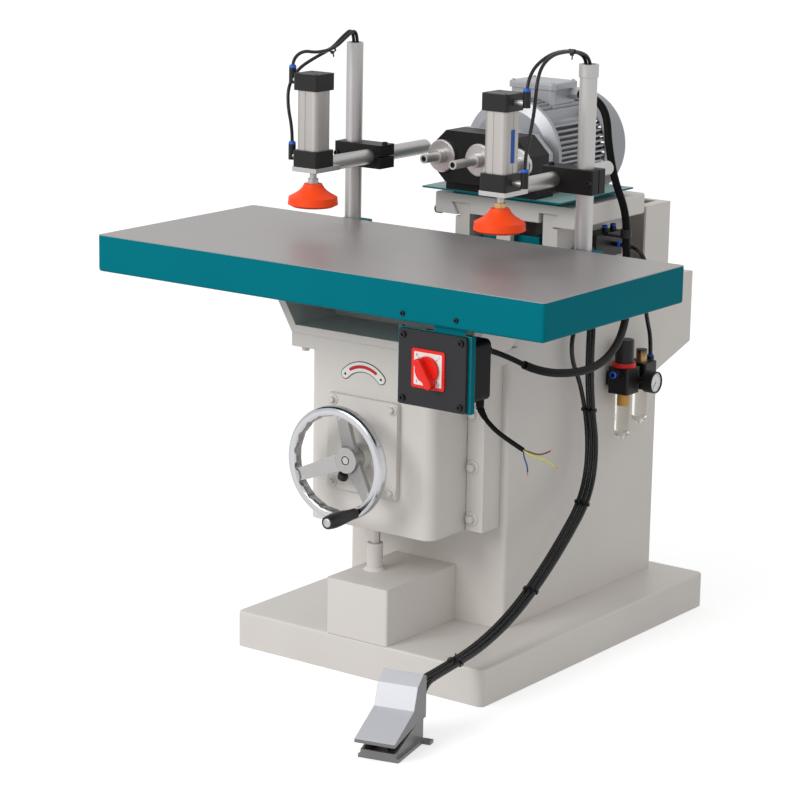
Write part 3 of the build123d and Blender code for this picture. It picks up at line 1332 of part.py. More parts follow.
# Air preparation unit: regulator and oiler bodies on wall brackets, gauge, inlet and outlet
air_x = column_half + FILTER_OFFSET
air_half = FILTER_BODY / 2
air_low = FILTER_Z - FILTER_BODY_HEIGHT / 2
air_top = FILTER_Z + FILTER_BODY_HEIGHT / 2
oiler_y = FILTER_Y + FILTER_PITCH
air_back = oiler_y + air_half + OUTLET_R + OUTLET_GAP
air_front = FILTER_Y - air_half - AIR_PORT
inlet_z = FILTER_Z + AIR_PORT_RISE
outlet_top = FILTER_Z + OUTLET_RISE
gauge_y = FILTER_Y + FILTER_PITCH / 2
gauge_z = FILTER_Z - GAUGE_DROP
gauge_x = air_x + air_half + GAUGE_STEM
with BuildPart() as air_regulator:
    with BuildSketch(level(air_low)):
        with Locations((air_x, FILTER_Y), (air_x, oiler_y)):
            RectangleRounded(FILTER_BODY, FILTER_BODY, FILTER_BRACKET)
    extrude(amount=FILTER_BODY_HEIGHT)
    with BuildSketch(facing(air_back, air_x, FILTER_Z)):
        Circle(FILTER_LINK_R / 2)
    extrude(amount=air_back - FILTER_Y)
    with BuildSketch(facing(oiler_y, air_x, FILTER_Z)):
        Circle(FILTER_LINK_R)
    extrude(amount=FILTER_PITCH)
    with BuildSketch(along(column_half)):
        with Locations((FILTER_Y, FILTER_Z), (oiler_y, FILTER_Z)):
            Rectangle(2 * FILTER_LINK_R, 2 * FILTER_LINK_R)
    extrude(amount=FILTER_OFFSET)
    with BuildSketch(level(FILTER_Z - FILTER_LINK_R)):
        with Locations((air_x, air_back)):
            Circle(OUTLET_R)
    extrude(amount=outlet_top - FILTER_Z + FILTER_LINK_R)
    with BuildSketch(level(air_top)):
        with Locations((air_x, oiler_y)):
            Circle(OILER_DOME_R)
    extrude(amount=OILER_DOME_HEIGHT)
    with BuildSketch(along(air_x)):
        with Locations((gauge_y, gauge_z)):
            Circle(GAUGE_STEM_R)
    extrude(amount=gauge_x - air_x)
    with BuildSketch(along(gauge_x)):
        with Locations((gauge_y, gauge_z)):
            Circle(GAUGE_R)
    extrude(amount=GAUGE_THICK)
    with BuildSketch(facing(FILTER_Y, air_x, inlet_z)):
        Circle(AIR_PORT_R)
    extrude(amount=FILTER_Y - air_front)
    with BuildSketch(facing(FILTER_Y - air_half, air_x, inlet_z)):
        Circle(AIR_PORT_BORE_R)
    extrude(amount=AIR_PORT, mode=Mode.SUBTRACT)
keep(air_regulator, "air_regulator")

# Regulator knob over its lock ring
with BuildPart() as air_knob:
    with BuildSketch(level(air_top)):
        with Locations((air_x, FILTER_Y)):
            Circle(FILTER_RING_R)
    extrude(amount=FILTER_RING)
    with BuildSketch(level(air_top + FILTER_RING)):
        with Locations((air_x, FILTER_Y)):
            Circle(AIR_KNOB_R)
    extrude(amount=AIR_KNOB_HEIGHT)
    fillet(air_knob.edges().group_by(Axis.Z)[-1], BOWL_WALL)
keep(air_knob, "air_knob")

# Clear bowls under the two bodies, closed below
bowl_lengths = {FILTER_Y: BOWL_LENGTH, oiler_y: OILER_BOWL_LENGTH}
with BuildPart() as filter_bowls:
    for bowl_y, bowl_length in bowl_lengths.items():
        with BuildSketch(Plane(origin=(air_x, bowl_y, air_low), x_dir=(1, 0, 0), z_dir=(0, -1, 0))):
            outline((0, -bowl_length), (BOWL_R / 2, -bowl_length), (BOWL_R, BOWL_R / 2 - bowl_length),
                    (BOWL_R, 0), (BOWL_R - BOWL_WALL, 0), (BOWL_R - BOWL_WALL, BOWL_R / 2 - bowl_length),
                    (BOWL_R / 2 - BOWL_WALL, BOWL_WALL - bowl_length), (0, BOWL_WALL - bowl_length))
        revolve(axis=Axis((air_x, bowl_y, 0), (0, 0, 1)))
keep(filter_bowls, "filter_bowls")

# Air valve on the bed's right wall, with hose ports and a clip for the cable conduit
valve_low = COLUMN_TOP + VALVE_RISE
valve_top = valve_low + VALVE_HEIGHT
valve_right = bed_half + VALVE_DEPTH
valve_port_y = VALVE_START - VALVE_PORT
valve_port_z = valve_low + VALVE_PORT_Z
valve_ports = [bed_half + VALVE_PORT_X + step * VALVE_PORT_PITCH for step in (-1, 0, 1)]
valve_inlet_y = VALVE_START + VALVE_INLET_Y
valve_inlet_x = valve_right + VALVE_PORT
clip_x = valve_right + CLIP_REACH
clip_y = VALVE_START + CLIP_Y
clip_low = valve_top - CLIP_THICK
clip_z = clip_low + CLIP_HEIGHT / 2
clip_bore_r = CONDUIT_R + SEAT_GAP
with BuildPart() as air_valve:
    with BuildSketch(along(bed_half)):
        area(VALVE_START, VALVE_START + VALVE_LENGTH, valve_low, valve_top)
    extrude(amount=VALVE_DEPTH)
    with BuildSketch(facing(VALVE_START)):
        with Locations(*[(x, valve_port_z) for x in valve_ports]):
            Circle(VALVE_PORT_R)
    extrude(amount=VALVE_PORT)
    with BuildSketch(along(valve_right)):
        with Locations((valve_inlet_y, valve_port_z)):
            Circle(VALVE_PORT_R)
    extrude(amount=VALVE_PORT)
    with BuildSketch(level(clip_low)):
        area(bed_half, clip_x, clip_y - CLIP_WIDTH / 2, clip_y + CLIP_WIDTH / 2)
    extrude(amount=CLIP_THICK)
    with BuildSketch(level(clip_low)):
        with Locations((clip_x, clip_y)):
            Circle(clip_bore_r + CLIP_THICK)
    extrude(amount=CLIP_HEIGHT)
    with BuildSketch(level(clip_low)):
        with Locations((clip_x, clip_y)):
            Circle(clip_bore_r)
    extrude(amount=CLIP_HEIGHT, mode=Mode.SUBTRACT)
keep(air_valve, "air_valve")

# Foot pedal base: floor, side walls rising to the pivot, valve block, ears and hose ports
pedal_cos = cos(radians(PEDAL_TURN))
pedal_sin = sin(radians(PEDAL_TURN))
pedal_half = PEDAL_WIDTH / 2
treadle_inside = pedal_half - TREADLE_SKIRT
base_side = treadle_inside - SEAT_GAP
port_w = PEDAL_LENGTH + PEDAL_PORT_GAP + PEDAL_PORT_R


def pedal_point(x, w, z):
    """Point on the turned pedal: x across it, w back from its front edge."""
    return (PEDAL_X + x * pedal_cos - w * pedal_sin, PEDAL_Y + x * pedal_sin + w * pedal_cos, z)


def pedal_level(z):
    """Horizontal plane turned with the pedal, drawn across and along it."""
    return Plane(origin=pedal_point(0, 0, z), x_dir=(pedal_cos, pedal_sin, 0), z_dir=(0, 0, 1))


def pedal_side(x):
    """Upright plane along the pedal, drawn back and up, grown to its right."""
    return Plane(origin=pedal_point(x, 0, 0), x_dir=(-pedal_sin, pedal_cos, 0),
                 z_dir=(pedal_cos, pedal_sin, 0))


with BuildPart() as pedal_base:
    with BuildSketch(pedal_level(0)):
        area(-pedal_half, pedal_half, 0, PEDAL_LENGTH)
        area(-pedal_half - PEDAL_EAR, pedal_half + PEDAL_EAR, PEDAL_LENGTH - PEDAL_EAR, PEDAL_LENGTH)
        with Locations((-pedal_half - PEDAL_EAR / 2, PEDAL_LENGTH - PEDAL_EAR / 2),
                       (pedal_half + PEDAL_EAR / 2, PEDAL_LENGTH - PEDAL_EAR / 2)):
            Circle(PEDAL_EAR_HOLE_R, mode=Mode.SUBTRACT)
    extrude(amount=PEDAL_FLOOR)
    for start in (-base_side, base_side - PEDAL_WALL):
        with BuildSketch(pedal_side(start)):
            outline((0, 0), (PEDAL_LENGTH - PEDAL_WALL, 0),
                    (PEDAL_PIVOT_W + PEDAL_CHEEK_R, PEDAL_PIVOT_Z + PEDAL_CHEEK_R),
                    (PEDAL_PIVOT_W - PEDAL_CHEEK_R, PEDAL_PIVOT_Z + PEDAL_CHEEK_R),
                    (PEDAL_PIVOT_W - 2 * PEDAL_CHEEK_R, PEDAL_REAR), (0, PEDAL_LIP))
        extrude(amount=PEDAL_WALL)
    with BuildSketch(pedal_level(0)):
        area(-base_side, base_side, 0, PEDAL_WALL)
    extrude(amount=PEDAL_LIP)
    with BuildSketch(pedal_level(0)):
        area(-base_side, base_side, PEDAL_LENGTH - PEDAL_REAR_WALL, PEDAL_LENGTH)
    extrude(amount=PEDAL_REAR)
    with BuildSketch(pedal_level(0)):
        area(-PEDAL_BLOCK_WIDTH / 2, PEDAL_BLOCK_WIDTH / 2,
             PEDAL_BLOCK_START, PEDAL_BLOCK_START + PEDAL_BLOCK_LENGTH)
    extrude(amount=PEDAL_BLOCK_HEIGHT)
    with BuildSketch(pedal_level(0)):
        with Locations((0, PEDAL_PLUNGER_W)):
            Circle(PEDAL_PLUNGER_R)
    extrude(amount=PEDAL_PLUNGER_Z)
    with BuildSketch(pedal_level(PEDAL_PORT_LOW)):
        with Locations(*[(step * PEDAL_PORT_PITCH, port_w) for step in (-1, 0, 1)]):
            Circle(PEDAL_PORT_R)
    extrude(amount=PEDAL_PORT_TOP - PEDAL_PORT_LOW)
    with BuildSketch(pedal_level(PEDAL_PORT_LOW)):
        for step in (-1, 0, 1):
            area(step * PEDAL_PORT_PITCH - PEDAL_PORT_R / 2, step * PEDAL_PORT_PITCH + PEDAL_PORT_R / 2,
                 PEDAL_LENGTH - PEDAL_REAR_WALL, port_w)
    extrude(amount=PEDAL_PORT_R)
    with BuildSketch(pedal_side(-pedal_half)):
        with Locations((PEDAL_PIVOT_W, PEDAL_PIVOT_Z)):
            Circle(PEDAL_PIN_R)
    extrude(amount=PEDAL_WIDTH)
keep(pedal_base, "pedal_base")

# Treadle: hooded shell with side skirts that swing on the pin
treadle_profile = [(TREADLE_NOSE_W, TREADLE_NOSE_LOW), (TREADLE_LOW_W, TREADLE_LOW_Z),
                   (PEDAL_LENGTH, TREADLE_LOW_Z), (PEDAL_LENGTH, TREADLE_HEEL_Z),
                   (TREADLE_CROWN_W, TREADLE_CROWN_Z), (TREADLE_BROW_W, TREADLE_BROW_Z),
                   (TREADLE_CREASE_W, TREADLE_CREASE_Z), (TREADLE_NOSE_W, TREADLE_NOSE_Z)]
tip_w = TREADLE_NOSE_W + TREADLE_TIP
pad_slope = (TREADLE_CREASE_Z - TREADLE_NOSE_Z) / (TREADLE_CREASE_W - TREADLE_NOSE_W)
tip_z = TREADLE_NOSE_Z + pad_slope * TREADLE_TIP - TREADLE_TIP_WALL
with BuildPart() as pedal_treadle:
    with BuildSketch(pedal_side(-pedal_half)):
        outline(*treadle_profile)
    extrude(amount=PEDAL_WIDTH)
    with BuildSketch(pedal_side(-treadle_inside)):
        outline(*treadle_profile)
        offset(amount=-TREADLE_THICK, kind=Kind.INTERSECTION, mode=Mode.REPLACE)
        outline((tip_w, 0), (PEDAL_LENGTH - TREADLE_THICK, 0),
                (PEDAL_LENGTH - TREADLE_THICK, TREADLE_LOW_Z + 2 * TREADLE_THICK),
                (TREADLE_LOW_W, TREADLE_LOW_Z + 2 * TREADLE_THICK), (tip_w, tip_z))
    extrude(amount=2 * treadle_inside, mode=Mode.SUBTRACT)
    with BuildSketch(pedal_side(-pedal_half)):
        with Locations((PEDAL_PIVOT_W, PEDAL_PIVOT_Z)):
            Circle(PEDAL_PIN_R + RUN_GAP)
    extrude(amount=PEDAL_WIDTH, mode=Mode.SUBTRACT)
keep(pedal_treadle, "pedal_treadle")


def turn_radii(points):
    """Bend radius at each inner point of a cord, from its two runs and the turn between them."""
    radii = []
    for before, here, after in zip(points, points[1:], points[2:]):
        run_in = Vector(*here) - Vector(*before)
        run_out = Vector(*after) - Vector(*here)
        half_turn = radians(run_in.get_angle(run_out)) / 2
        radii.append(BEND_SHARE * min(run_in.length, run_out.length) / tan(half_turn))
    return radii


def cord(points, radius):
    """Round cord of straight runs joined by tangent arcs."""
    radii = turn_radii(points)
    with BuildPart() as length:
        with BuildLine() as path:
            FilletPolyline(*points, radius=radii)
        with BuildSketch(Plane(origin=path.line @ 0, z_dir=path.line % 0)):
            Circle(radius)
        sweep(path=path.line)
    print(f"tightest bend {min(radii):.1f}, volume over section by length",
          round(length.part.volume / (pi * radius ** 2 * path.wire().length), 3))
    return length.part


# Clamp hoses: from each cylinder's two elbows over into the open top of its post
elbow_low = arm_z + CAP_HEIGHT / 2 + ELBOW_RISE
elbow_high = barrel_top + CAP_HEIGHT / 2 + ELBOW_RISE
for side, hand, routes in ((-1, "left", (LEFT_LOW_HOSE, LEFT_HIGH_HOSE)),
                           (1, "right", (RIGHT_LOW_HOSE, RIGHT_HIGH_HOSE))):
    with BuildPart() as clamp_hoses:
        for elbow_z, lead, route in zip((elbow_low, elbow_high), ELBOW_LEADS, routes):
            start = [(side * elbow_x, CYLINDER_Y, elbow_z), (side * elbow_x, CYLINDER_Y, elbow_z + lead)]
            add(cord(start + route, HOSE_R))
    keep(clamp_hoses, f"{hand}_clamp_hoses")

# Pedal hoses: three side by side from the valve down to the floor and along to the pedal
with BuildPart() as pedal_hoses:
    for step, middle in zip((-1, 0, 1), (LOOP_HOSE, PEDAL_HOSE, PEDAL_HOSE)):
        port_x = bed_half + VALVE_PORT_X + step * VALVE_PORT_PITCH
        spread = step * PEDAL_HOSE_PITCH / sqrt(2)
        start = [(port_x, valve_port_y, valve_port_z), (port_x, valve_port_y - VALVE_LEAD, valve_port_z),
                 (HOSE_SHOULDER[0] + spread, HOSE_SHOULDER[1], HOSE_SHOULDER[2] + spread)]
        lane = [(x + step * PEDAL_HOSE_PITCH, y, z) for x, y, z in middle]
        end = [pedal_point(step * PEDAL_PORT_PITCH, port_w, PEDAL_PORT_TOP + lead) for lead in (PORT_LEAD, 0)]
        add(cord(start + lane + end, PEDAL_HOSE_R))
keep(pedal_hoses, "pedal_hoses")

# Air hose: from the oiler's outlet up to the valve's inlet
hose_turn = valve_inlet_x + INLET_LEAD
with BuildPart() as air_hose:
    add(cord([(air_x, air_back, outlet_top), (air_x, air_back, outlet_top + AIR_LEAD)] + AIR_HOSE
             + [(hose_turn, valve_inlet_y, valve_port_z), (valve_inlet_x, valve_inlet_y, valve_port_z)],
             PEDAL_HOSE_R))
keep(air_hose, "air_hose")

# Switch conduit: from the switch box round the column to the clip on the valve
with BuildPart() as switch_conduit:
    add(cord([(cable_x, cable_y, cable_z), (cable_x, cable_y + BOX_LEAD, cable_z)] + SWITCH_CONDUIT
             + [(clip_x, clip_y, clip_z - CLIP_LEAD), (clip_x, clip_y, clip_z)], CONDUIT_R))
keep(switch_conduit, "switch_conduit")

# Motor conduit: from the clip up to the terminal box
with BuildPart() as motor_conduit:
    add(cord([(clip_x, clip_y, clip_z), (clip_x, clip_y, clip_z + CLIP_LEAD)] + MOTOR_CONDUIT
             + [(gland_end + GLAND_LEAD, gland_y, gland_z), (gland_end, gland_y, gland_z)], CONDUIT_R))
keep(motor_conduit, "motor_conduit")

# Mains lead: short cable out of the switch box's underside
with BuildPart() as mains_lead:
    add(cord([(lead_x, lead_y, lead_z), (lead_x, lead_y, lead_z - MAINS_START)] + MAINS_LEAD, LEAD_R))
keep(mains_lead, "mains_lead")
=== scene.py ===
from math import cos, pi, radians, sin

import bmesh
import bpy
from mathutils import Matrix, Vector


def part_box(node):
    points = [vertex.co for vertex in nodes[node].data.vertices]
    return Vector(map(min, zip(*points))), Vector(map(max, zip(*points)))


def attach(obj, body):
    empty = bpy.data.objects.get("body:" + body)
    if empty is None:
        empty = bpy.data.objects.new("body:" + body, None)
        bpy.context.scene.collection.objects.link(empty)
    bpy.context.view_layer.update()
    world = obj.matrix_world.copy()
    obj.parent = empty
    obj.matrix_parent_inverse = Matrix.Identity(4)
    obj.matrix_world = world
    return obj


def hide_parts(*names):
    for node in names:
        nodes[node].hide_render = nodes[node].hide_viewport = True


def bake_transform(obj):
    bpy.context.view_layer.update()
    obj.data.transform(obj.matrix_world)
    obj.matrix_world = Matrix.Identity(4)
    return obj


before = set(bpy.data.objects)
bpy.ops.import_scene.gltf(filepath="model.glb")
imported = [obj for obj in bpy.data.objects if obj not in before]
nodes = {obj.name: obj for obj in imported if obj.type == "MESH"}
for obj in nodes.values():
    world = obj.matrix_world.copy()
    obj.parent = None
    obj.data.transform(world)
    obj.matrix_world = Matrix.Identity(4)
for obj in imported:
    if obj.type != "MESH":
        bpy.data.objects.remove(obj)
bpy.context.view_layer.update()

# Base frame and column: steel boxes, welded, filled, sanded and sprayed in warm white enamel.
# The column is welded on the base; the knee slides on its front and the boring head on its top.
MM = 0.001
EDGE_ROUND = 0.0015
RUB_SCALE = 130.0
RUB_RANGE = (0.06, 0.14)
CLOUD_SCALE = 6.0
PEEL_SCALE = 650.0
PEEL_STRENGTH = 0.1
PEEL_DEPTH = 0.0004


def tint(red, green, blue):
    """Linear shader colour of an 8-bit screen colour."""
    return (*(((level / 255 + 0.055) / 1.055) ** 2.4 for level in (red, green, blue)), 1.0)


def shade(colour, factor):
    """The same colour, lighter or darker."""
    return (*(min(1.0, level * factor) for level in colour[:3]), 1.0)


def add_node(tree, kind, settings=None, inputs=None):
    """Adds a shader node; each input is a plain value or the socket that feeds it."""
    made = tree.nodes.new("ShaderNode" + kind)
    for name, value in (settings or {}).items():
        setattr(made, name, value)
    for name, value in (inputs or {}).items():
        if isinstance(value, bpy.types.NodeSocket):
            tree.links.new(value, made.inputs[name])
        else:
            made.inputs[name].default_value = value
    return made


def calc(tree, operation, *values):
    """What one Math node puts out."""
    return add_node(tree, "Math", {"operation": operation}, dict(enumerate(values))).outputs[0]


def varied(tree, mask, middle, width):
    """Value that covers a width round its middle as the mask goes from 0 to 1."""
    return calc(tree, "MULTIPLY_ADD", mask, width, middle - width / 2)


def between(tree, mask, low, high):
    """Colour that goes from low to high as the mask goes from 0 to 1."""
    return add_node(tree, "Mix", {"data_type": "RGBA"}, {0: mask, 6: low, 7: high}).outputs[2]


def mottled(tree, mask, colour, dark, light):
    """Colour that goes from a dark to a light shade of itself as the mask goes from 0 to 1."""
    return between(tree, mask, shade(colour, dark), shade(colour, light))


def noise(tree, place, scale, detail=2.0):
    """Noise over a place, as a value from 0 to 1."""
    grain = add_node(tree, "TexNoise", None, {"Vector": place, "Scale": scale, "Detail": detail})
    return grain.outputs[0]


def effect(name, inputs, outputs):
    """Empty shader node group, with the sockets it is given and those it puts out."""
    tree = bpy.data.node_groups.new(name, "ShaderNodeTree")
    for label, kind, value in inputs:
        socket = tree.interface.new_socket(label, in_out="INPUT", socket_type="NodeSocket" + kind)
        socket.default_value = value
    for label, kind in outputs:
        tree.interface.new_socket(label, in_out="OUTPUT", socket_type="NodeSocket" + kind)
    given = tree.nodes.new("NodeGroupInput").outputs
    wanted = tree.nodes.new("NodeGroupOutput").inputs
    return tree, given, wanted


def use(tree, group, inputs):
    """Places a shared effect in a material and returns what it puts out."""
    return add_node(tree, "Group", {"node_tree": group}, inputs).outputs


def edge_effect():
    """Rounds sharp edges in the shading and masks the spots where they are rubbed."""
    tree, given, wanted = effect("rubbed_edge", [("Radius", "Float", EDGE_ROUND), ("Wear", "Float", 0.5)],
                                 [("Mask", "Float"), ("Normal", "Vector")])
    rounded = add_node(tree, "Bevel", {"samples": 4}, {"Radius": given["Radius"]}).outputs[0]
    flat = add_node(tree, "NewGeometry").outputs["Normal"]
    agree = add_node(tree, "VectorMath", {"operation": "DOT_PRODUCT"}, {0: rounded, 1: flat})
    place = add_node(tree, "TexCoord").outputs["Object"]
    bent = calc(tree, "SUBTRACT", 1.0, agree.outputs["Value"])
    rubbed = calc(tree, "MULTIPLY", bent, noise(tree, place, RUB_SCALE, 3.0))
    spots = add_node(tree, "MapRange", None, {"Value": rubbed, "From Min": RUB_RANGE[0],
                                              "From Max": RUB_RANGE[1]}).outputs[0]
    tree.links.new(calc(tree, "MULTIPLY", spots, given["Wear"]), wanted["Mask"])
    tree.links.new(rounded, wanted["Normal"])
    return tree


def enamel_effect():
    """Faint clouds of a sprayed coat and its fine orange peel."""
    tree, given, wanted = effect("enamel_coat", [("Peel scale", "Float", PEEL_SCALE)],
                                 [("Clouds", "Float"), ("Peel", "Float")])
    place = add_node(tree, "TexCoord").outputs["Object"]
    tree.links.new(noise(tree, place, CLOUD_SCALE, 4.0), wanted["Clouds"])
    tree.links.new(noise(tree, place, given["Peel scale"]), wanted["Peel"])
    return tree


RUBBED_EDGE = edge_effect()
ENAMEL_COAT = enamel_effect()


def new_finish(name):
    """Empty material with its node tree and its shader."""
    material = bpy.data.materials.new(name)
    material.use_nodes = True
    return material, material.node_tree, material.node_tree.nodes["Principled BSDF"]


def surface(tree, shader, colour, roughness, relief, normal):
    """Feeds a shader its colour, its roughness and its relief: a strength, a depth and a height."""
    strength, depth, height = relief
    bump = add_node(tree, "Bump", None, {"Strength": strength, "Distance": depth, "Height": height,
                                         "Normal": normal})
    tree.links.new(colour, shader.inputs["Base Color"])
    tree.links.new(roughness, shader.inputs["Roughness"])
    tree.links.new(bump.outputs[0], shader.inputs["Normal"])


def painted(name, paint, rubbed, roughness, wear=0.35, metallic=0.0, gloss=0.3):
    """Sprayed enamel: faint clouds, fine orange peel, and edges where the coat has rubbed thin."""
    material, tree, shader = new_finish(name)
    edge = use(tree, RUBBED_EDGE, {"Radius": EDGE_ROUND, "Wear": wear})
    coat = use(tree, ENAMEL_COAT, {"Peel scale": PEEL_SCALE})
    clouded = mottled(tree, coat["Clouds"], paint, 0.93, 1.05)
    surface(tree, shader, between(tree, edge["Mask"], clouded, rubbed),
            varied(tree, coat["Clouds"], roughness, 0.16),
            (PEEL_STRENGTH, PEEL_DEPTH, coat["Peel"]), edge["Normal"])
    shader.inputs["Metallic"].default_value = metallic
    shader.inputs["Specular IOR Level"].default_value = gloss
    return material


def dress(material, *names):
    """Gives CAD nodes their finish."""
    for name in names:
        slots = nodes[name].data.materials
        slots.clear()
        slots.append(material)


def dress_faces(name, pick, *materials):
    """Gives the faces of a CAD node different finishes: pick takes a face's centre in mm and normal."""
    mesh = nodes[name].data
    mesh.materials.clear()
    for material in materials:
        mesh.materials.append(material)
    for face in mesh.polygons:
        face.material_index = pick(face.center / MM, face.normal)


warm_white = painted("warm_white_enamel", tint(212, 207, 202), tint(232, 229, 224), 0.42, wear=0.3)
dress(warm_white, "base_frame", "column")

# Lift: a trapezoid screw carries the knee and turns in a nut on a welded pedestal.
# The pedestal is sprayed with the base; the screw is turned steel, oiled and slightly dulled.
LINES_UPRIGHT = (700.0, 700.0, 10.0)
LINES_BACK = (700.0, 10.0, 700.0)
LINES_CAST = (260.0, 260.0, 260.0)
HANDLING_SCALE = 14.0
TOOL_STRENGTH = 0.06
TOOL_DEPTH = 0.0003


def tool_effect():
    """Fine lines that a tool leaves, drawn out along one way, and the slow clouds of handling."""
    tree, given, wanted = effect("tool_lines", [("Stretch", "Vector", LINES_UPRIGHT)],
                                 [("Lines", "Float"), ("Clouds", "Float")])
    place = add_node(tree, "TexCoord").outputs["Object"]
    drawn = add_node(tree, "VectorMath", {"operation": "MULTIPLY"}, {0: place, 1: given["Stretch"]})
    tree.links.new(noise(tree, drawn.outputs[0], 1.0, 3.0), wanted["Lines"])
    tree.links.new(noise(tree, place, HANDLING_SCALE, 4.0), wanted["Clouds"])
    return tree


TOOL_LINES = tool_effect()


def bare_metal(name, metal, roughness, stretch, contrast=0.14):
    """Bare metal, with its tool lines in colour, gloss and relief."""
    material, tree, shader = new_finish(name)
    edge = use(tree, RUBBED_EDGE, {"Radius": EDGE_ROUND / 2, "Wear": 0.5})
    tool = use(tree, TOOL_LINES, {"Stretch": stretch})
    lined = mottled(tree, tool["Lines"], metal, 1 - contrast, 1 + contrast)
    handled = mottled(tree, tool["Clouds"], metal, 0.88, 1.08)
    mixed = between(tree, 0.5, lined, handled)
    surface(tree, shader, between(tree, edge["Mask"], mixed, shade(metal, 1.25)),
            varied(tree, tool["Lines"], roughness, 0.2),
            (TOOL_STRENGTH, TOOL_DEPTH, tool["Lines"]), edge["Normal"])
    shader.inputs["Metallic"].default_value = 1.0
    return material


screw_steel = bare_metal("oiled_screw_steel", tint(176, 172, 165), 0.42, LINES_UPRIGHT)
dress(warm_white, "screw_pedestal", "lift_nut")
dress(screw_steel, "lift_screw")

# Knee, shaft cover and table saddle: castings sprayed with the body, bolted to one another.
# The knee rides the column's dovetail way; its cover closes the bevel gears of the lift.
# A riveted badge on the knee shows the way to turn the wheel; a dark broken strip marks the seam at its
# flange, partly sealant and partly painted shade of the gap.
KNEE_BOLT_X = 131
KNEE_BOLT_Y = -215
KNEE_BOLT_HEIGHTS = (457, 364, 272)
KNEE_BOLT_FLATS = 13
COVER_PROUD = 10
COVER_BOLT_FLATS = 10
COVER_BOLT_INSET = 11
PLATE_BOLT = (168, -300, 551)
SEAM_X = 118.5
SEAM_WIDTH = 1.6
SEAM_PROUD = 0.2
SEAM_TOP = 505
SEAM_GRAIN = 90.0
BADGE_CENTRE = (-29, 483)
BADGE_HALF_ANGLE = 47
BADGE_RIM = (42.6, 61.4)
BADGE_FACE = (43.8, 60.2)
BADGE_ARC = (49.5, 55)
BADGE_ARC_HALF_ANGLE = 31
BADGE_THICK = 0.8
BADGE_RIVET = [(2.2, 0), (1.98, 0.5), (0.88, 0.9)]
SMOOTH_ANGLE = 32
FRONT = (0, -1, 0)
RIGHT = (1, 0, 0)
UP = (0, 0, 1)
dress(warm_white, "knee", "shaft_cover", "table_saddle")


def box_mm(name):
    """Lowest and highest corner of a CAD node, in mm."""
    low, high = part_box(name)
    return low / MM, high / MM


def at(spot):
    """Matrix that moves a form to a spot in mm."""
    return Matrix.Translation(Vector(spot) * MM)


def block(shape, place, size):
    """Adds a box of a size in mm, centred where a matrix puts it."""
    bmesh.ops.create_cube(shape, size=MM, matrix=place @ Matrix.Diagonal((*size, 1)))


def spin(shape, profile, spot, toward, sides=32, closed=False):
    """Adds a turned form or a closed ring: (radius, height) points in mm, spun round an axis."""
    place = at(spot) @ Vector(toward).to_track_quat("Z", "Y").to_matrix().to_4x4()
    rings = []
    for radius, height in profile:
        ring = []
        for step in range(sides):
            turn = 2 * pi * step / sides
            point = Vector((radius * cos(turn), radius * sin(turn), height))
            ring.append(shape.verts.new(place @ (point * MM)))
        rings.append(ring)
    for low, high in zip(rings, rings[1:] + (rings[:1] if closed else [])):
        for step in range(sides):
            shape.faces.new((low[step - 1], low[step], high[step], high[step - 1]))
    if not closed:
        shape.faces.new(rings[0])
        shape.faces.new(rings[-1])


def solid(name, shape, material, smooth_angle):
    """Makes a bmesh an object, shaded smooth where faces meet at less than an angle."""
    bmesh.ops.recalc_face_normals(shape, faces=shape.faces)
    mesh = bpy.data.meshes.new(name)
    shape.to_mesh(mesh)
    shape.free()
    mesh.materials.append(material)
    mesh.shade_smooth()
    mesh.set_sharp_from_angle(angle=radians(smooth_angle))
    piece = bpy.data.objects.new(name, mesh)
    bpy.context.collection.objects.link(piece)
    return piece


def finished(name, shape, material, body):
    """Makes a bmesh a piece of the machine that rides on a body."""
    piece = solid(name, shape, material, SMOOTH_ANGLE)
    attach(piece, body)
    return piece


def turned(name, profile, spot, toward, material, body, sides=32, closed=False):
    """Makes one turned form or ring a piece of the machine."""
    shape = bmesh.new()
    spin(shape, profile, spot, toward, sides, closed)
    return finished(name, shape, material, body)


def hex_bolt(shape, spot, toward, flats):
    """Adds a washer with a chamfered hexagon head on it."""
    corner = flats / 2 / cos(pi / 6)
    washer = flats * 0.14
    head = [(corner, washer), (corner, flats * 0.62), (corner * 0.86, flats * 0.72)]
    spin(shape, [(flats, 0), (flats, washer * 0.7), (flats * 0.93, washer)], spot, toward)
    spin(shape, head, spot, toward, sides=6)


cover_low, cover_high = box_mm("shaft_cover")
knee_low = box_mm("knee")[0]
bolts = bmesh.new()
for height in KNEE_BOLT_HEIGHTS:
    hex_bolt(bolts, (KNEE_BOLT_X, KNEE_BOLT_Y, height), FRONT, KNEE_BOLT_FLATS)
for x in (cover_low.x + COVER_BOLT_INSET, cover_high.x - COVER_BOLT_INSET):
    for z in (cover_low.z + COVER_BOLT_INSET, cover_high.z - COVER_BOLT_INSET):
        hex_bolt(bolts, (x, knee_low.y - COVER_PROUD, z), FRONT, COVER_BOLT_FLATS)
for side in (-1, 1):
    hex_bolt(bolts, (side * PLATE_BOLT[0], *PLATE_BOLT[1:]), (0, 0, -1), KNEE_BOLT_FLATS)
finished("knee_bolts", bolts, warm_white, "knee")

# Dark broken strip on the seam: partly sealant, partly painted shade where the gap between knee and flange
# lies in shadow.
sealant_and_shade_seam, tree, shader = new_finish("sealant_and_shade_seam")
seam_grain = noise(tree, add_node(tree, "TexCoord").outputs["Object"], SEAM_GRAIN, 3.0)
seam_sealant_shade_colour = between(tree, seam_grain, tint(30, 26, 24), tint(190, 184, 176))
tree.links.new(seam_sealant_shade_colour, shader.inputs["Base Color"])
shader.inputs["Roughness"].default_value = 0.5
seam = bmesh.new()
block(seam, at((SEAM_X, KNEE_BOLT_Y, (knee_low.z + SEAM_TOP) / 2)),
      (SEAM_WIDTH, 2 * SEAM_PROUD, SEAM_TOP - knee_low.z))
finished("knee_seam", seam, sealant_and_shade_seam, "knee")


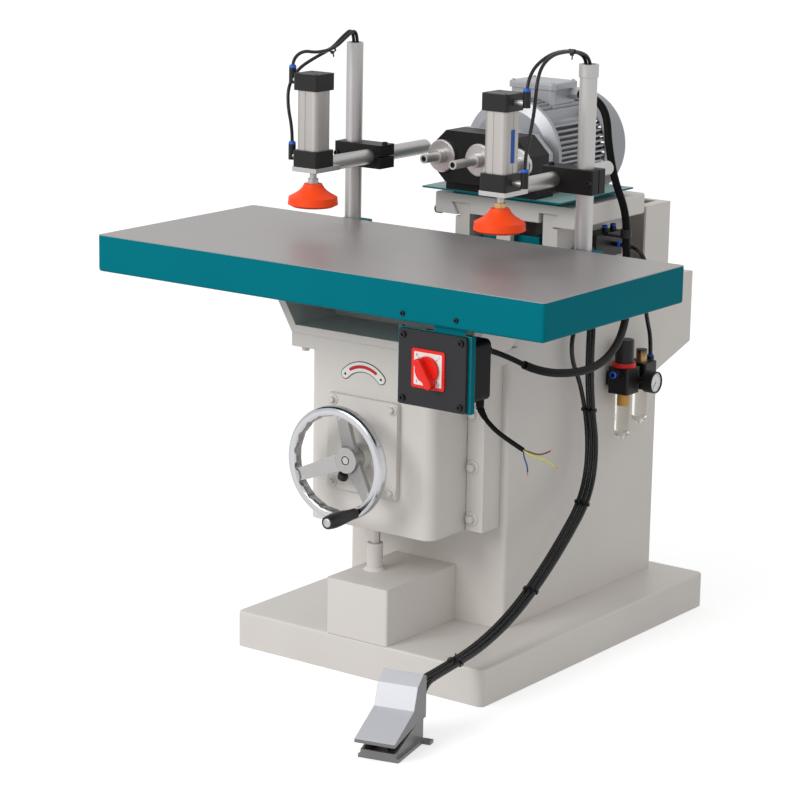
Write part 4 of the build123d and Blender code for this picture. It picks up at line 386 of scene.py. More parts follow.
def front_plate(shape, rim, low, high):
    """Adds a flat plate with an outline of (x, z) points, from one depth in y to a nearer one."""
    front = [shape.verts.new(Vector((x, high, z)) * MM) for x, z in rim]
    rear = [shape.verts.new(Vector((x, low, z)) * MM) for x, z in rim]
    shape.faces.new(front)
    shape.faces.new(rear)
    for step in range(len(rim)):
        shape.faces.new((front[step - 1], front[step], rear[step], rear[step - 1]))


def arc_outline(centre, radii, half_angle, steps=24, end_steps=8):
    """Outline of a bent strip with round ends, symmetrical about the vertical."""
    inner, outer = radii
    middle, half = (inner + outer) / 2, (outer - inner) / 2
    rim = []
    for radius, start, way in ((outer, 90 + half_angle, -1), (inner, 90 - half_angle, 1)):
        for step in range(steps + 1):
            turn = radians(start + way * 2 * half_angle * step / steps)
            rim.append((centre[0] + radius * cos(turn), centre[1] + radius * sin(turn)))
        for step in range(1, end_steps):
            swing = turn + (pi if way > 0 else 0) - pi * step / end_steps
            rim.append((centre[0] + middle * cos(turn) + half * cos(swing),
                        centre[1] + middle * sin(turn) + half * sin(swing)))
    return rim


plate_white = painted("badge_white", tint(228, 226, 222), tint(200, 200, 200), 0.4, wear=0.2)
marking_red = painted("marking_red", tint(196, 26, 36), tint(210, 80, 80), 0.4, wear=0.1)
black_satin = painted("black_satin_enamel", tint(27, 26, 26), tint(80, 79, 78), 0.45, wear=0.5,
                      gloss=0.15)
badge_layers = (("turn_badge_rim", BADGE_RIM, BADGE_HALF_ANGLE, black_satin, "black_paint"),
                ("turn_badge_face", BADGE_FACE, BADGE_HALF_ANGLE, plate_white, "aluminium"),
                ("turn_badge_arc", BADGE_ARC, BADGE_ARC_HALF_ANGLE, marking_red, "red_plastic"))
for layer, (name, radii, half_angle, material, slot) in enumerate(badge_layers):
    badge = bmesh.new()
    low = knee_low.y - BADGE_THICK * layer / 2
    front_plate(badge, arc_outline(BADGE_CENTRE, radii, half_angle), low, low - BADGE_THICK)
    finished(name, badge, material, "knee")
rivets = bmesh.new()
rivet_reach = sum(BADGE_FACE) / 2
for turn in (radians(90 - BADGE_HALF_ANGLE), radians(90 + BADGE_HALF_ANGLE)):
    x = BADGE_CENTRE[0] + rivet_reach * cos(turn)
    z = BADGE_CENTRE[1] + rivet_reach * sin(turn)
    spin(rivets, BADGE_RIVET, (x, knee_low.y - 1.5 * BADGE_THICK, z), FRONT, sides=16)
finished("turn_badge_rivets", rivets, black_satin, "knee")

# Handwheel: cast aluminium, its rim polished and scalloped inside for the fingers, on a steel shaft.
# A black moulded grip turns on a pin in the rim, and a black star screw clamps the hub to the shaft.
WHEEL_AXIS = (-28, 380)
RIM_INSIDE = 79
STAR_ANGLE = 248
STAR_FOOT = 22
STAR_Y = -357
STAR_SCREW = [(4, -4), (4, 6), (6.5, 6.5), (9, 8), (9.5, 12), (9, 17), (7, 19), (4, 19.5)]
HUB_RING = [(6.4, -0.5), (8.2, -0.5), (8.2, 0.4), (6.4, 0.4)]
PIN_HEAD = [(7.5, 0), (7.5, 0.6), (6.6, 1.2), (4.4, 1.3), (4.2, 0.4)]


def moulded(name, plastic, roughness, grain=1500.0, relief=0.08, gloss=0.25):
    """Moulded plastic or rubber with a fine matt grain and faint handling marks."""
    material, tree, shader = new_finish(name)
    edge = use(tree, RUBBED_EDGE, {"Radius": EDGE_ROUND / 2, "Wear": 0.25})
    coat = use(tree, ENAMEL_COAT, {"Peel scale": grain})
    clouded = mottled(tree, coat["Clouds"], plastic, 0.88, 1.1)
    surface(tree, shader, between(tree, edge["Mask"], clouded, shade(plastic, 1.6)),
            varied(tree, coat["Peel"], roughness, 0.18),
            (relief, TOOL_DEPTH, coat["Peel"]), edge["Normal"])
    shader.inputs["Specular IOR Level"].default_value = gloss
    return material


def on_rim(centre, normal):
    """1 for a face of the handwheel's rim, 0 for one of its spokes or hub."""
    return int((Vector((centre.x, centre.z)) - Vector(WHEEL_AXIS)).length > RIM_INSIDE)


polished_cast = bare_metal("polished_cast_aluminium", tint(188, 188, 191), 0.2, LINES_CAST, contrast=0.08)
satin_cast = bare_metal("satin_cast_aluminium", tint(166, 165, 164), 0.42, LINES_CAST, contrast=0.1)
bright_steel = bare_metal("bright_steel", tint(184, 182, 180), 0.42, LINES_BACK, contrast=0.1)
black_grip = moulded("black_grip", tint(34, 34, 36), 0.34)
dress_faces("handwheel", on_rim, satin_cast, polished_cast)
dress(bright_steel, "wheel_shaft")
dress(black_grip, "wheel_grip")
star_way = Vector((cos(radians(STAR_ANGLE)), 0, sin(radians(STAR_ANGLE))))
star_spot = Vector((WHEEL_AXIS[0], STAR_Y, WHEEL_AXIS[1])) + star_way * STAR_FOOT
turned("hub_star_screw", STAR_SCREW, star_spot, star_way, black_grip, "handwheel",
       sides=12)
hub_spot = (WHEEL_AXIS[0], box_mm("wheel_shaft")[0].y, WHEEL_AXIS[1])
turned("hub_ring", HUB_RING, hub_spot, FRONT, black_grip, "handwheel", closed=True)
grip_low, grip_high = box_mm("wheel_grip")
grip_middle = (grip_low + grip_high) / 2
pin_spot = (grip_middle.x, grip_low.y, grip_middle.z)
turned("grip_pin_head", PIN_HEAD, pin_spot, FRONT, bright_steel, "handwheel")

# Work table: a ribbed iron casting, its top ground bright and its skirt sprayed teal.
# Two cap screws in the front skirt hold the switch bracket.
SKIRT_SCREWS = ((192, 689), (296, 691))
SKIRT_SCREW_R = 4
TOP_SKIN = 2
LINES_GROUND = (6.0, 420.0, 420.0)
IRON = tint(150, 145, 145)
GROUND_ROUGHNESS = 0.34
GROUND_STRENGTH = 0.08


def on_top(centre, normal):
    """1 for a face of the table's ground top, 0 for one of its skirt or ribs."""
    return int(normal.z > 0.5 and centre.z > table_high.z - TOP_SKIN)


def cap_screw(shape, spot, toward, radius):
    """Adds a cap screw's head with its sunk socket."""
    spin(shape, [(radius, 0), (radius, radius * 0.75), (radius * 0.88, radius * 0.9),
                 (radius * 0.55, radius * 0.9), (radius * 0.5, radius * 0.3)], spot, toward, sides=24)


teal = painted("teal_enamel", tint(0, 108, 121), tint(190, 205, 204), 0.46, wear=0.5, gloss=0.02)
ground_iron, tree, shader = new_finish("ground_iron")
edge = use(tree, RUBBED_EDGE, {"Radius": EDGE_ROUND, "Wear": 0.7})
tool = use(tree, TOOL_LINES, {"Stretch": LINES_GROUND})
coat = use(tree, ENAMEL_COAT, {"Peel scale": PEEL_SCALE})
lined = mottled(tree, tool["Lines"], IRON, 0.86, 1.12)
stained = mottled(tree, coat["Clouds"], IRON, 0.82, 1.1)
ground = varied(tree, tool["Lines"], GROUND_ROUGHNESS, 0.14)
surface(tree, shader, between(tree, edge["Mask"], between(tree, 0.55, lined, stained), shade(IRON, 1.5)),
        calc(tree, "MULTIPLY_ADD", coat["Clouds"], 0.1, ground),
        (GROUND_STRENGTH, TOOL_DEPTH, tool["Lines"]), edge["Normal"])
shader.inputs["Metallic"].default_value = 0.4
black_screw = bare_metal("blackened_screw", tint(52, 52, 54), 0.45, LINES_CAST)
table_low, table_high = box_mm("work_table")
dress_faces("work_table", on_top, teal, ground_iron)
skirt_screws = bmesh.new()
for x, z in SKIRT_SCREWS:
    cap_screw(skirt_screws, (x, table_low.y, z), FRONT, SKIRT_SCREW_R)
finished("skirt_screws", skirt_screws, black_screw, "knee")

# Clamp posts: bright drawn steel tubes, standing in teal brackets behind the table's back edge.
# Their open tops take in the hoses of the clamps.
drawn_tube = bare_metal("drawn_steel_tube", tint(184, 182, 181), 0.46, LINES_UPRIGHT, contrast=0.08)
dress(drawn_tube, "clamp_posts")
dress(teal, "post_brackets")

# Clamps: black cross blocks split and pinched on post and arm by cap screws, bright arms,
# and an air cylinder each, with an aluminium barrel between black caps and an orange rubber pad.
POST_X = 246
POST_SCREW = 21
ARM_X = 196
ARM_SCREW = 19
CLAMP_SCREW_R = 5
CAP_HALF = 26
CAP_HEIGHT = 29
CAP_SCREW_INSET = 7
CAP_SCREW = [(4.6, 0), (4.6, 0.05), (3.0, 0.06), (2.6, -3)]
PAD_NUT = 12
ELBOW_X = 243
ELBOW_TOPS = (890.5, 1023.5)
STUB_X = (222.5, 236)
RELEASE_RING = [(3.3, -1), (6.4, -1), (6.4, 2), (5.2, 5), (3.3, 5)]
STRIP_Z = (903, 958)
STRIP_WIDTH = 11.5
STRIP_THICK = 0.4
STRIP_BEVEL = 0.1
cap_black = moulded("anodised_black", tint(28, 28, 29), 0.42, grain=900.0)
barrel_alu = bare_metal("anodised_barrel", tint(174, 170, 167), 0.5, LINES_UPRIGHT, contrast=0.05)
pad_orange = moulded("orange_rubber", tint(255, 74, 18), 0.52, grain=500.0, relief=0.12)
zinc_gold = bare_metal("yellow_zinc", tint(196, 164, 110), 0.36, LINES_UPRIGHT)
release_blue = moulded("release_blue", tint(28, 92, 196), 0.35)
strip_blue = moulded("strip_blue", tint(22, 86, 170), 0.45)
for hand, side, pad_nut in (("left", -1, bright_steel), ("right", 1, zinc_gold)):
    clamp = hand + "_clamp"
    block_low, block_high = box_mm(clamp + "_block")
    block_middle = (block_low + block_high) / 2
    cylinder_y = box_mm(hand + "_cylinder_caps")[0].y + CAP_HALF
    cylinder_top = box_mm(hand + "_cylinder_barrel")[1].z + CAP_HEIGHT
    nut_top = box_mm(hand + "_press_pad")[1].z + PAD_NUT
    dress(black_satin, clamp + "_block")
    dress(bright_steel, clamp + "_arm")
    dress(barrel_alu, hand + "_cylinder_barrel")
    dress(pad_orange, hand + "_press_pad")
    dress_faces(hand + "_cylinder_caps", lambda centre, normal: int(STUB_X[0] < abs(centre.x) < STUB_X[1]),
                cap_black, bright_steel)
    dress_faces(hand + "_press_rod", lambda centre, normal: int(centre.z < nut_top), drawn_tube, pad_nut)
    screws = bmesh.new()
    cap_screw(screws, (side * (ARM_X - ARM_SCREW), block_middle.y, block_high.z), UP, CLAMP_SCREW_R)
    cap_screw(screws, (side * (POST_X + POST_SCREW), block_low.y, block_middle.z), FRONT, CLAMP_SCREW_R)
    for dx in (CAP_SCREW_INSET - CAP_HALF, CAP_HALF - CAP_SCREW_INSET):
        for dy in (CAP_SCREW_INSET - CAP_HALF, CAP_HALF - CAP_SCREW_INSET):
            spin(screws, CAP_SCREW, (side * ARM_X + dx, cylinder_y + dy, cylinder_top), UP, sides=6)
    finished(hand + "_clamp_screws", screws, black_screw, clamp)
    rings = bmesh.new()
    for rim in ELBOW_TOPS:
        spin(rings, RELEASE_RING, (side * ELBOW_X, cylinder_y, rim), UP, closed=True)
    finished(hand + "_release_rings", rings, release_blue, clamp)
strip_face = box_mm("right_cylinder_barrel")[1].x
strip = bmesh.new()
block(strip, at((strip_face, cylinder_y, sum(STRIP_Z) / 2)),
      (STRIP_THICK, STRIP_WIDTH, STRIP_Z[1] - STRIP_Z[0]))
bmesh.ops.bevel(strip, geom=strip.edges[:], offset=STRIP_BEVEL * MM, segments=1, affect="EDGES")
finished("barrel_strip", strip, strip_blue, "right_clamp")

# Clamp hoses: polyurethane hoses from the cylinders' elbows, over into the open tops of the posts.
# They rise with the clamp and slide in the post; a nylon tie holds each pair together.
HOSE_R = 3
PAIR_HALF = 4
CLAMP_HOSES = (
    ("left", "low", 0.4097, [(-243, -248, 890.5), (-243, -248, 916.5), (-254, -247, 955),
                             (-259, -240, 990), (-257, -215, 1018), (-252, -175, 1034),
                             (-250, -130, 1046)]),
    ("left", "high", 0.3128, [(-243, -248, 1023.5), (-243, -248, 1037.5), (-242, -222, 1051),
                              (-242, -180, 1044), (-242, -130, 1048)]),
    ("right", "low", 0.4351, [(243, -248, 890.5), (243, -248, 916.5), (248, -240, 960),
                              (252, -236, 1002), (252, -233, 1038), (251, -218, 1064),
                              (250, -184, 1079), (250, -140, 1081)]),
    ("right", "high", 0.3103, [(243, -248, 1023.5), (243, -246, 1038), (242, -230, 1058),
                               (242, -204, 1071), (242, -174, 1079), (242, -138, 1081)]))
POST_FOLDS = {"left": [(-96, 1066), (-70, 1078), (-62, 1050), (-65, 1005), (-65, 958)],
              "right": [(-100, 1077), (-72, 1066), (-63, 1038), (-65, 1000), (-65, 958)]}
CLAMP_TIES = {"left": ((-246, -133, 1045.5), (0, 0.95, 0.31)),
              "right": ((246, -119.5, 1079), (0, 0.995, -0.1))}
TIE_WIDTH = 4
TIE_THICK = 1.2
TIE_STEPS = 40
TIE_LOCK = (((0, 0, 1), (5, 5, 4)), ((1, 0, 5), (0.9, 3, 9)))
hose_black = moulded("hose_polyurethane", tint(21, 21, 24), 0.28, grain=300.0, relief=0.03, gloss=0.3)


def smooth_line(name, route):
    """Curve on one NURBS line that has a route's points, in mm, as its control points."""
    curve = bpy.data.curves.new(name, "CURVE")
    curve.dimensions = "3D"
    spline = curve.splines.new("NURBS")
    spline.points.add(len(route) - 1)
    for knot, point in zip(spline.points, route):
        knot.co = (*(Vector(point) * MM), 1.0)
    spline.order_u = 3
    spline.use_endpoint_u = True
    spline.resolution_u = 16
    return curve


def hose(name, route, radius, material, body, node=None,
         facets=5):
    """Round hose, cable or core on its smooth line, in place of its plain CAD tube if it has one."""
    curve = smooth_line(name, route)
    curve.bevel_depth = radius * MM
    curve.bevel_resolution = facets
    curve.use_fill_caps = True
    curve.materials.append(material)
    piece = bpy.data.objects.new(name, curve)
    bpy.context.collection.objects.link(piece)
    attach(piece, body)
    if node:
        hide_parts(node)
    return piece


def cable_tie(name, spot, along, half_spread, radius, body):
    """Nylon tie round hoses that lie side by side in x, with its lock and cut tail."""
    spot, along, across = Vector(spot), Vector(along).normalized(), Vector(RIGHT)
    upward = along.cross(across)
    section = ((radius, -TIE_WIDTH / 2), (radius, TIE_WIDTH / 2),
               (radius + TIE_THICK, TIE_WIDTH / 2), (radius + TIE_THICK, -TIE_WIDTH / 2))
    shape = bmesh.new()
    rings = []
    for step in range(TIE_STEPS):
        turn = 2 * pi * step / TIE_STEPS
        centre = spot + across * (half_spread if cos(turn) >= 0 else -half_spread)
        way = across * cos(turn) + upward * sin(turn)
        points = [centre + way * reach + along * slide for reach, slide in section]
        rings.append([shape.verts.new(point * MM) for point in points])
    for step in range(TIE_STEPS):
        near, far = rings[step - 1], rings[step]
        for corner in range(len(section)):
            shape.faces.new((near[corner - 1], near[corner], far[corner], far[corner - 1]))
    facing = Matrix((across, along, upward)).transposed().to_4x4()
    lock = at(spot + upward * (radius + TIE_THICK)) @ facing
    for shift, size in TIE_LOCK:
        block(shape, lock @ at(shift), size)
    return finished(name, shape, hose_black, body)


for hand, name, length, rise in CLAMP_HOSES:
    clamp = hand + "_clamp"
    route = rise + [(rise[-1][0], y, z) for y, z in POST_FOLDS[hand]]
    if name == "high":
        cable_tie(hand + "_hose_tie", *CLAMP_TIES[hand], PAIR_HALF, HOSE_R, clamp)
    hose(f"{hand}_{name}_hose", route, HOSE_R, hose_black, clamp, clamp + "_hoses")

# Slide and carriage: the bed's ways and the carriage are castings sprayed with the body.
# An air cylinder under the carriage feeds it; a teal riser and sheet carry the boring head.
LOCK_SPOT = (-150, 100, 742)
LOCK_KNOB = [(6, 0), (6, 4), (4, 4.5), (4, 14), (8, 15), (8.5, 17), (8.5, 26), (7, 28)]
teal_dust_and_sheen = painted("dusty_teal_enamel", tint(146, 180, 178), tint(190, 205, 204), 0.5, wear=0.5)
dress(warm_white, "slide_bed", "carriage", "rear_housing")
# The riser's upward faces take a paler teal: partly dust, partly painted sheen of the light from above.
dress_faces("head_riser", lambda centre, normal: int(normal.z > 0.9), teal, teal_dust_and_sheen)
dress(teal, "feed_cylinder")
dress(drawn_tube, "feed_rod")
turned("carriage_lock_knob", LOCK_KNOB, LOCK_SPOT, (-1, 0, 0), black_grip, "head")

# Gearbox: a black cast housing on the riser before the motor, with three turned flanges.
# The gears inside drive three steel spindles, each with an open chuck and a collar at its end.
flange_alu = bare_metal("turned_flange", tint(190, 189, 188), 0.32, LINES_CAST, contrast=0.07)
dress(black_satin, "gearbox_housing")
dress(flange_alu, "spindle_flanges")
dress(bright_steel, "left_spindle", "centre_spindle", "right_spindle", "left_idler", "right_idler")

# Motor: a finned cast-aluminium frame with end shield, terminal box and a pressed fan cover.
# All are sprayed silver grey; the shaft with its black fan runs inside.
FAN_Y = 250
BOX_SCREW_X = 42
BOX_SCREW_INSET = 8
BOX_SCREW_R = 3
silver_grey = painted("silver_grey_enamel", tint(164, 165, 169), tint(222, 222, 224), 0.36, wear=0.4,
                      metallic=0.35)
cover_grey = painted("fan_cover_grey", tint(146, 148, 153), tint(205, 206, 210), 0.34, wear=0.3,
                     metallic=0.3)
fan_black = moulded("fan_black", tint(30, 30, 32), 0.5)
dress(silver_grey, "end_shield", "motor_frame", "terminal_box")
dress(cover_grey, "fan_cover")
dress_faces("motor_rotor", lambda centre, normal: int(centre.y > FAN_Y), bright_steel, fan_black)
box_low, box_high = box_mm("terminal_box")
box_screws = bmesh.new()
for x in (-BOX_SCREW_X, BOX_SCREW_X):
    for y in (box_low.y + BOX_SCREW_INSET, box_high.y - BOX_SCREW_INSET):
        cap_screw(box_screws, (x, y, box_high.z), UP, BOX_SCREW_R)
finished("terminal_lid_screws", box_screws, bright_steel, "head")

# Switch: a teal sheet bracket under the table, a black plastic box with a screwed lid,
# and a white dial plate with a red rim under a red rotary knob.
LID_BACK = -500
LID_PROUD = 7
LID_SCREWS = ((191, 654), (303, 654), (191, 550), (303, 550))
LID_SCREW_R = 5
DIAL_CENTRE = (241, 603)
DIAL_HALF = 32
DIAL_CORNER = 4
DIAL_RIM = 5
DIAL_RIM_RISE = 2.2
DIAL_FACE_CORNER = 2
DIAL_FACE_RISE = 2.5
DIAL_TICK_R = 25
DIAL_TICK_RISE = 2.6
DIAL_TICK = (3.6, 0.3, 0.9)
DIAL_FIGURES = ((135, "0"), (45, "1"), (-45, "2"), (-135, "3"))
DIAL_FIGURE_R = 30.5
DIAL_FIGURE_RISE = 2.7
DIAL_FIGURE = 6.5
switch_lid = moulded("switch_lid", tint(46, 46, 49), 0.46, gloss=0.15)
switch_shell = moulded("switch_shell", tint(22, 22, 24), 0.5, gloss=0.08)
knob_red = moulded("knob_red", tint(226, 34, 24), 0.28, grain=400.0, relief=0.03)
dial_white = moulded("dial_white", tint(226, 222, 220), 0.4)
figure_black = moulded("figure_black", tint(40, 40, 42), 0.5)
dress(teal, "switch_bracket")
dress_faces("switch_box", lambda centre, normal: int(centre.y > LID_BACK), switch_lid, switch_shell)
dress(knob_red, "switch_knob")
lid_face = box_mm("switch_bracket")[0].y - LID_PROUD


def square_outline(centre, half, corner, steps=6):
    """Outline of a square with rounded corners."""
    rim = []
    for quarter, (right, up) in enumerate(((1, 1), (-1, 1), (-1, -1), (1, -1))):
        for step in range(steps + 1):
            turn = radians(90 * (quarter + step / steps))
            rim.append((centre[0] + right * (half - corner) + corner * cos(turn),
                        centre[1] + up * (half - corner) + corner * sin(turn)))
    return rim


def on_dial(way, reach, rise):
    """Matrix of a spot on the dial, by way and reach from its centre and rise from the lid."""
    spot = Vector(DIAL_CENTRE) + way * reach
    return at((spot.x, lid_face - rise, spot.y))


dial_layers = (("dial_rim", DIAL_HALF, DIAL_CORNER, 0, DIAL_RIM_RISE, knob_red, "red_plastic"),
               ("dial_face", DIAL_HALF - DIAL_RIM, DIAL_FACE_CORNER, DIAL_RIM_RISE, DIAL_FACE_RISE,
                dial_white, "aluminium"))
for name, half, corner, low, high, material, slot in dial_layers:
    plate = bmesh.new()
    front_plate(plate, square_outline(DIAL_CENTRE, half, corner), lid_face - low, lid_face - high)
    finished(name, plate, material, "knee")
figures = bmesh.new()
for angle, figure in DIAL_FIGURES:
    way = Vector((cos(radians(angle)), sin(radians(angle))))
    tick = on_dial(way, DIAL_TICK_R, DIAL_TICK_RISE) @ Matrix.Rotation(-radians(angle), 4, "Y")
    block(figures, tick, DIAL_TICK)
    letter = bpy.data.curves.new("figure", "FONT")
    letter.body = figure
    letter.size = DIAL_FIGURE * MM
    letter.align_x = "CENTER"
    letter.align_y = "CENTER"
    holder = bpy.data.objects.new("figure", letter)
    drawn = bpy.data.meshes.new_from_object(holder)
    bpy.data.objects.remove(holder)
    drawn.transform(on_dial(way, DIAL_FIGURE_R, DIAL_FIGURE_RISE) @ Matrix.Rotation(radians(90), 4, "X"))
    figures.from_mesh(drawn)
finished("dial_figures", figures, figure_black, "knee")
lid_screws = bmesh.new()
for x, z in LID_SCREWS:
    cap_screw(lid_screws, (x, lid_face, z), FRONT, LID_SCREW_R)
finished("switch_lid_screws", lid_screws, black_screw, "knee")

# Air unit: filter, regulator and oiler on the column's side, with a gauge and clear bowls.
# Black bodies, a black adjusting knob with a red lock ring, and bowls of clear polycarbonate.
AIR_X = 198
OILER_CAP_Y = (212, 236)
OILER_CAP_Z = (487.5, 498)
LOCK_RING_TOP = 495
GAUGE_SPOT = (247, 194, 459)
GAUGE_FACE = [(17.5, 0), (17.5, 0.4)]
GAUGE_BEZEL = [(17.5, 0), (20, 0), (20, 2), (19, 3), (17.5, 2)]
GAUGE_MARKS = 11
GAUGE_START = 225
GAUGE_STEP = 27
MARK_RISE = 0.5
MARK_R = 15
MARK_SIZE = (0.2, 3, 0.7)
NEEDLE_RISE = 0.6
NEEDLE_R = 5
NEEDLE_SIZE = (0.3, 15, 1.1)
BOWLS = (("filter", 164, 353, 86), ("oiler", 224, 371, 68))
BOWL_R = 14
BOWL_INSIDE = 12
BOWL_FOOT = [(BOWL_R, 14), (12.5, 8), (9, 5), (5, 4), (5, 0), (3.4, 0), (3.4, 5.5), (8, 7), (11, 10),
             (BOWL_INSIDE, 15)]
BOWL_GRAIN = 120.0
BOWL_IOR = 1.25
ELEMENT_SPOT = (AIR_X, 164, 353)
ELEMENT = [(8, 62), (8.5, 62), (8.5, 85), (8, 85)]
AIR_INLET = (AIR_X, 129, 477)
AIR_INLET_RING = [(4.2, 0), (6.4, 0), (6.4, 3), (5.4, 5), (4.2, 5)]
AIR_OUTLET = (AIR_X, 255, 489)
AIR_OUTLET_RING = [(4.2, 0), (6.6, 0), (6.6, 2.5), (5.6, 5), (4.2, 5)]
air_black = moulded("air_unit_black", tint(24, 24, 26), 0.4)
ring_red = moulded("lock_ring_red", tint(214, 32, 28), 0.35)
amber = moulded("sintered_amber", tint(214, 160, 74), 0.6, grain=900.0, relief=0.3)
gauge_white = moulded("gauge_white", tint(232, 234, 236), 0.35)
bowl_clear, tree, shader = new_finish("bowl_polycarbonate")
coat = use(tree, ENAMEL_COAT, {"Peel scale": BOWL_GRAIN})
clouded = between(tree, coat["Clouds"], tint(240, 238, 230), tint(250, 249, 246))
tree.links.new(clouded, shader.inputs["Base Color"])
tree.links.new(varied(tree, coat["Peel"], 0.06, 0.06), shader.inputs["Roughness"])
shader.inputs["Transmission Weight"].default_value = 1.0
shader.inputs["IOR"].default_value = BOWL_IOR


def on_oiler_cap(centre, normal):
    """1 for a face of the oiler's plated filler cap, 0 for one of the black bodies."""
    return int(OILER_CAP_Z[0] < centre.z < OILER_CAP_Z[1] and OILER_CAP_Y[0] < centre.y < OILER_CAP_Y[1])


def on_gauge(angle, reach, rise):
    """Matrix of a spot on the gauge, by angle, reach from the centre and rise from the face."""
    centre = at((GAUGE_SPOT[0] + rise, *GAUGE_SPOT[1:]))
    return centre @ Matrix.Rotation(radians(angle), 4, "X") @ at((0, reach, 0))


dress_faces("air_regulator", on_oiler_cap, air_black, zinc_gold)
dress_faces("air_knob", lambda centre, normal: int(centre.z < LOCK_RING_TOP), air_black, ring_red)
turned("gauge_face", GAUGE_FACE, GAUGE_SPOT, RIGHT, gauge_white, "frame", sides=48)
turned("gauge_bezel", GAUGE_BEZEL, GAUGE_SPOT, RIGHT, air_black, "frame", sides=48,
       closed=True)
marks = bmesh.new()
for step in range(GAUGE_MARKS):
    block(marks, on_gauge(GAUGE_START - GAUGE_STEP * step, MARK_R, MARK_RISE), MARK_SIZE)
block(marks, on_gauge(GAUGE_START, NEEDLE_R, NEEDLE_RISE), NEEDLE_SIZE)
finished("gauge_marks", marks, figure_black, "frame")
for name, y, low, length in BOWLS:
    profile = [(BOWL_INSIDE, length), (BOWL_R, length), *BOWL_FOOT]
    bowl = turned(name + "_bowl", profile, (AIR_X, y, low), UP, bowl_clear, "frame",
                  sides=40)
    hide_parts("filter_bowls")
unit_rings = bmesh.new()
spin(unit_rings, AIR_INLET_RING, AIR_INLET, FRONT, closed=True)
spin(unit_rings, AIR_OUTLET_RING, AIR_OUTLET, UP, closed=True)
finished("air_unit_rings", unit_rings, release_blue, "frame")
turned("filter_element", ELEMENT, ELEMENT_SPOT, UP, amber, "frame", sides=40)

# Air valve: a black block on the bed's side with push-in fittings, fed by the air unit.
# A clip ring beside it leads the cables past.
VALVE_TOP = 722
VALVE_OUTLETS = ((134, 186), (134, 214))
OUTLET_RISE = 8
OUTLET_NUT = [(6.5, 0), (6.5, 7), (5.5, OUTLET_RISE)]
OUTLET_RING = [(3.4, 0), (5.5, 0), (5.5, 4), (3.4, 5)]
VALVE_PORTS = ((116, 130, 700), (127, 130, 700), (138, 130, 700))
PORT_RING = [(4.2, 0), (5.3, 0), (5.3, 3), (4.2, 4)]
VALVE_INLET = (156, 200, 700)
INLET_RING = [(4.2, 0), (6, 0), (6, 3), (4.2, 5)]
SILENCER_SPOT = (127, 142, 686)
SILENCER = [(6, 0), (6, 5), (4.6, 5.2), (4.6, 16), (3.4, 18)]
dress(air_black, "air_valve")
outlets = bmesh.new()
valve_rings = bmesh.new()
for x, y in VALVE_OUTLETS:
    spin(outlets, OUTLET_NUT, (x, y, VALVE_TOP), UP, sides=6)
    spin(valve_rings, OUTLET_RING, (x, y, VALVE_TOP + OUTLET_RISE), UP, closed=True)
finished("valve_outlets", outlets, air_black, "frame")
for spot in VALVE_PORTS:
    spin(valve_rings, PORT_RING, spot, FRONT, sides=24, closed=True)
spin(valve_rings, INLET_RING, VALVE_INLET, RIGHT, closed=True)
finished("valve_rings", valve_rings, release_blue, "frame")
turned("valve_silencer", SILENCER, SILENCER_SPOT, FRONT, zinc_gold, "frame", sides=6)

# Foot pedal: a pressed treadle hinged over a cast base, which is screwed to the floor.
# Both are sprayed grey; the treadle's upper faces are paler than its cheeks and the base, partly a
# brighter top finish and partly painted light falling from above.
pedal_top_finish_and_light = painted("pedal_pale_enamel", tint(196, 196, 202), tint(228, 228, 232), 0.34, wear=0.4,
                     metallic=0.2)
pedal_grey = painted("pedal_grey_enamel", tint(122, 120, 120), tint(186, 185, 184), 0.36, wear=0.6,
                     metallic=0.25)
# Upward faces of the treadle get the paler copy of the grey: partly a brighter finish, partly painted
# light from above; the cheeks keep the plain grey.
dress_faces("pedal_treadle", lambda centre, normal: int(normal.z > 0.2), pedal_grey, pedal_top_finish_and_light)
dress(pedal_grey, "pedal_base")

# Hoses to the pedal and the air unit: black polyurethane, pushed into the fittings of the valve.
# Three run down the column to the pedal side by side, held by nylon ties.
PEDAL_FRONT = (274, -672)
PEDAL_TURN = radians(13)
PEDAL_HOLE_PITCH = 18
PEDAL_HOLE_BACK = 119
PEDAL_HOSE_R = 4
PORT_LEAD = 35
HOSE_TURN = (168, 66, 660)
HOSE_TURN_LANE = 6.505
HOSE_LANE = 9.2
HOSE_DROP = [(194, 48, 600), (198, 38, 520), (198, 44, 446)]
HOSE_LOOP = [(194, 28, 608), (198, -10, 542), (198, 42, 462)]
HOSE_RUN = [(203, 60, 352), (212, 26, 272), (224, -62, 218), (235, -160, 166), (242, -260, 123),
            (248, -360, 100), (250, -440, 92.5), (250, -500, 87)]
HOSE_END = ((0.45, 84), (0.82, 62), (1, 38))
PEDAL_HOSES = ((-1, HOSE_LOOP, 1.168), (0, HOSE_DROP, 1.138), (1, HOSE_DROP, 1.136))
PEDAL_TIES = (((199.1, 47.4, 428.2), (0.038, 0.144, -0.989)),
              ((213.7, 11.1, 266.9), (0.116, -0.724, -0.68)),
              ((236.5, -183, 156.5), (0.074, -0.907, -0.414)),
              ((249.6, -426, 93.8), (0.018, -0.996, -0.093)))
TIE_SLACK = 1.2
AIR_ROUTE = [(198, 255, 492), (198, 255, 524), (201, 232, 566), (208, 209, 612), (215.7, 200.8, 653.3),
             (210.8, 200, 681.4), (193.8, 200, 697.6), (171, 200, 700), (156, 200, 700)]
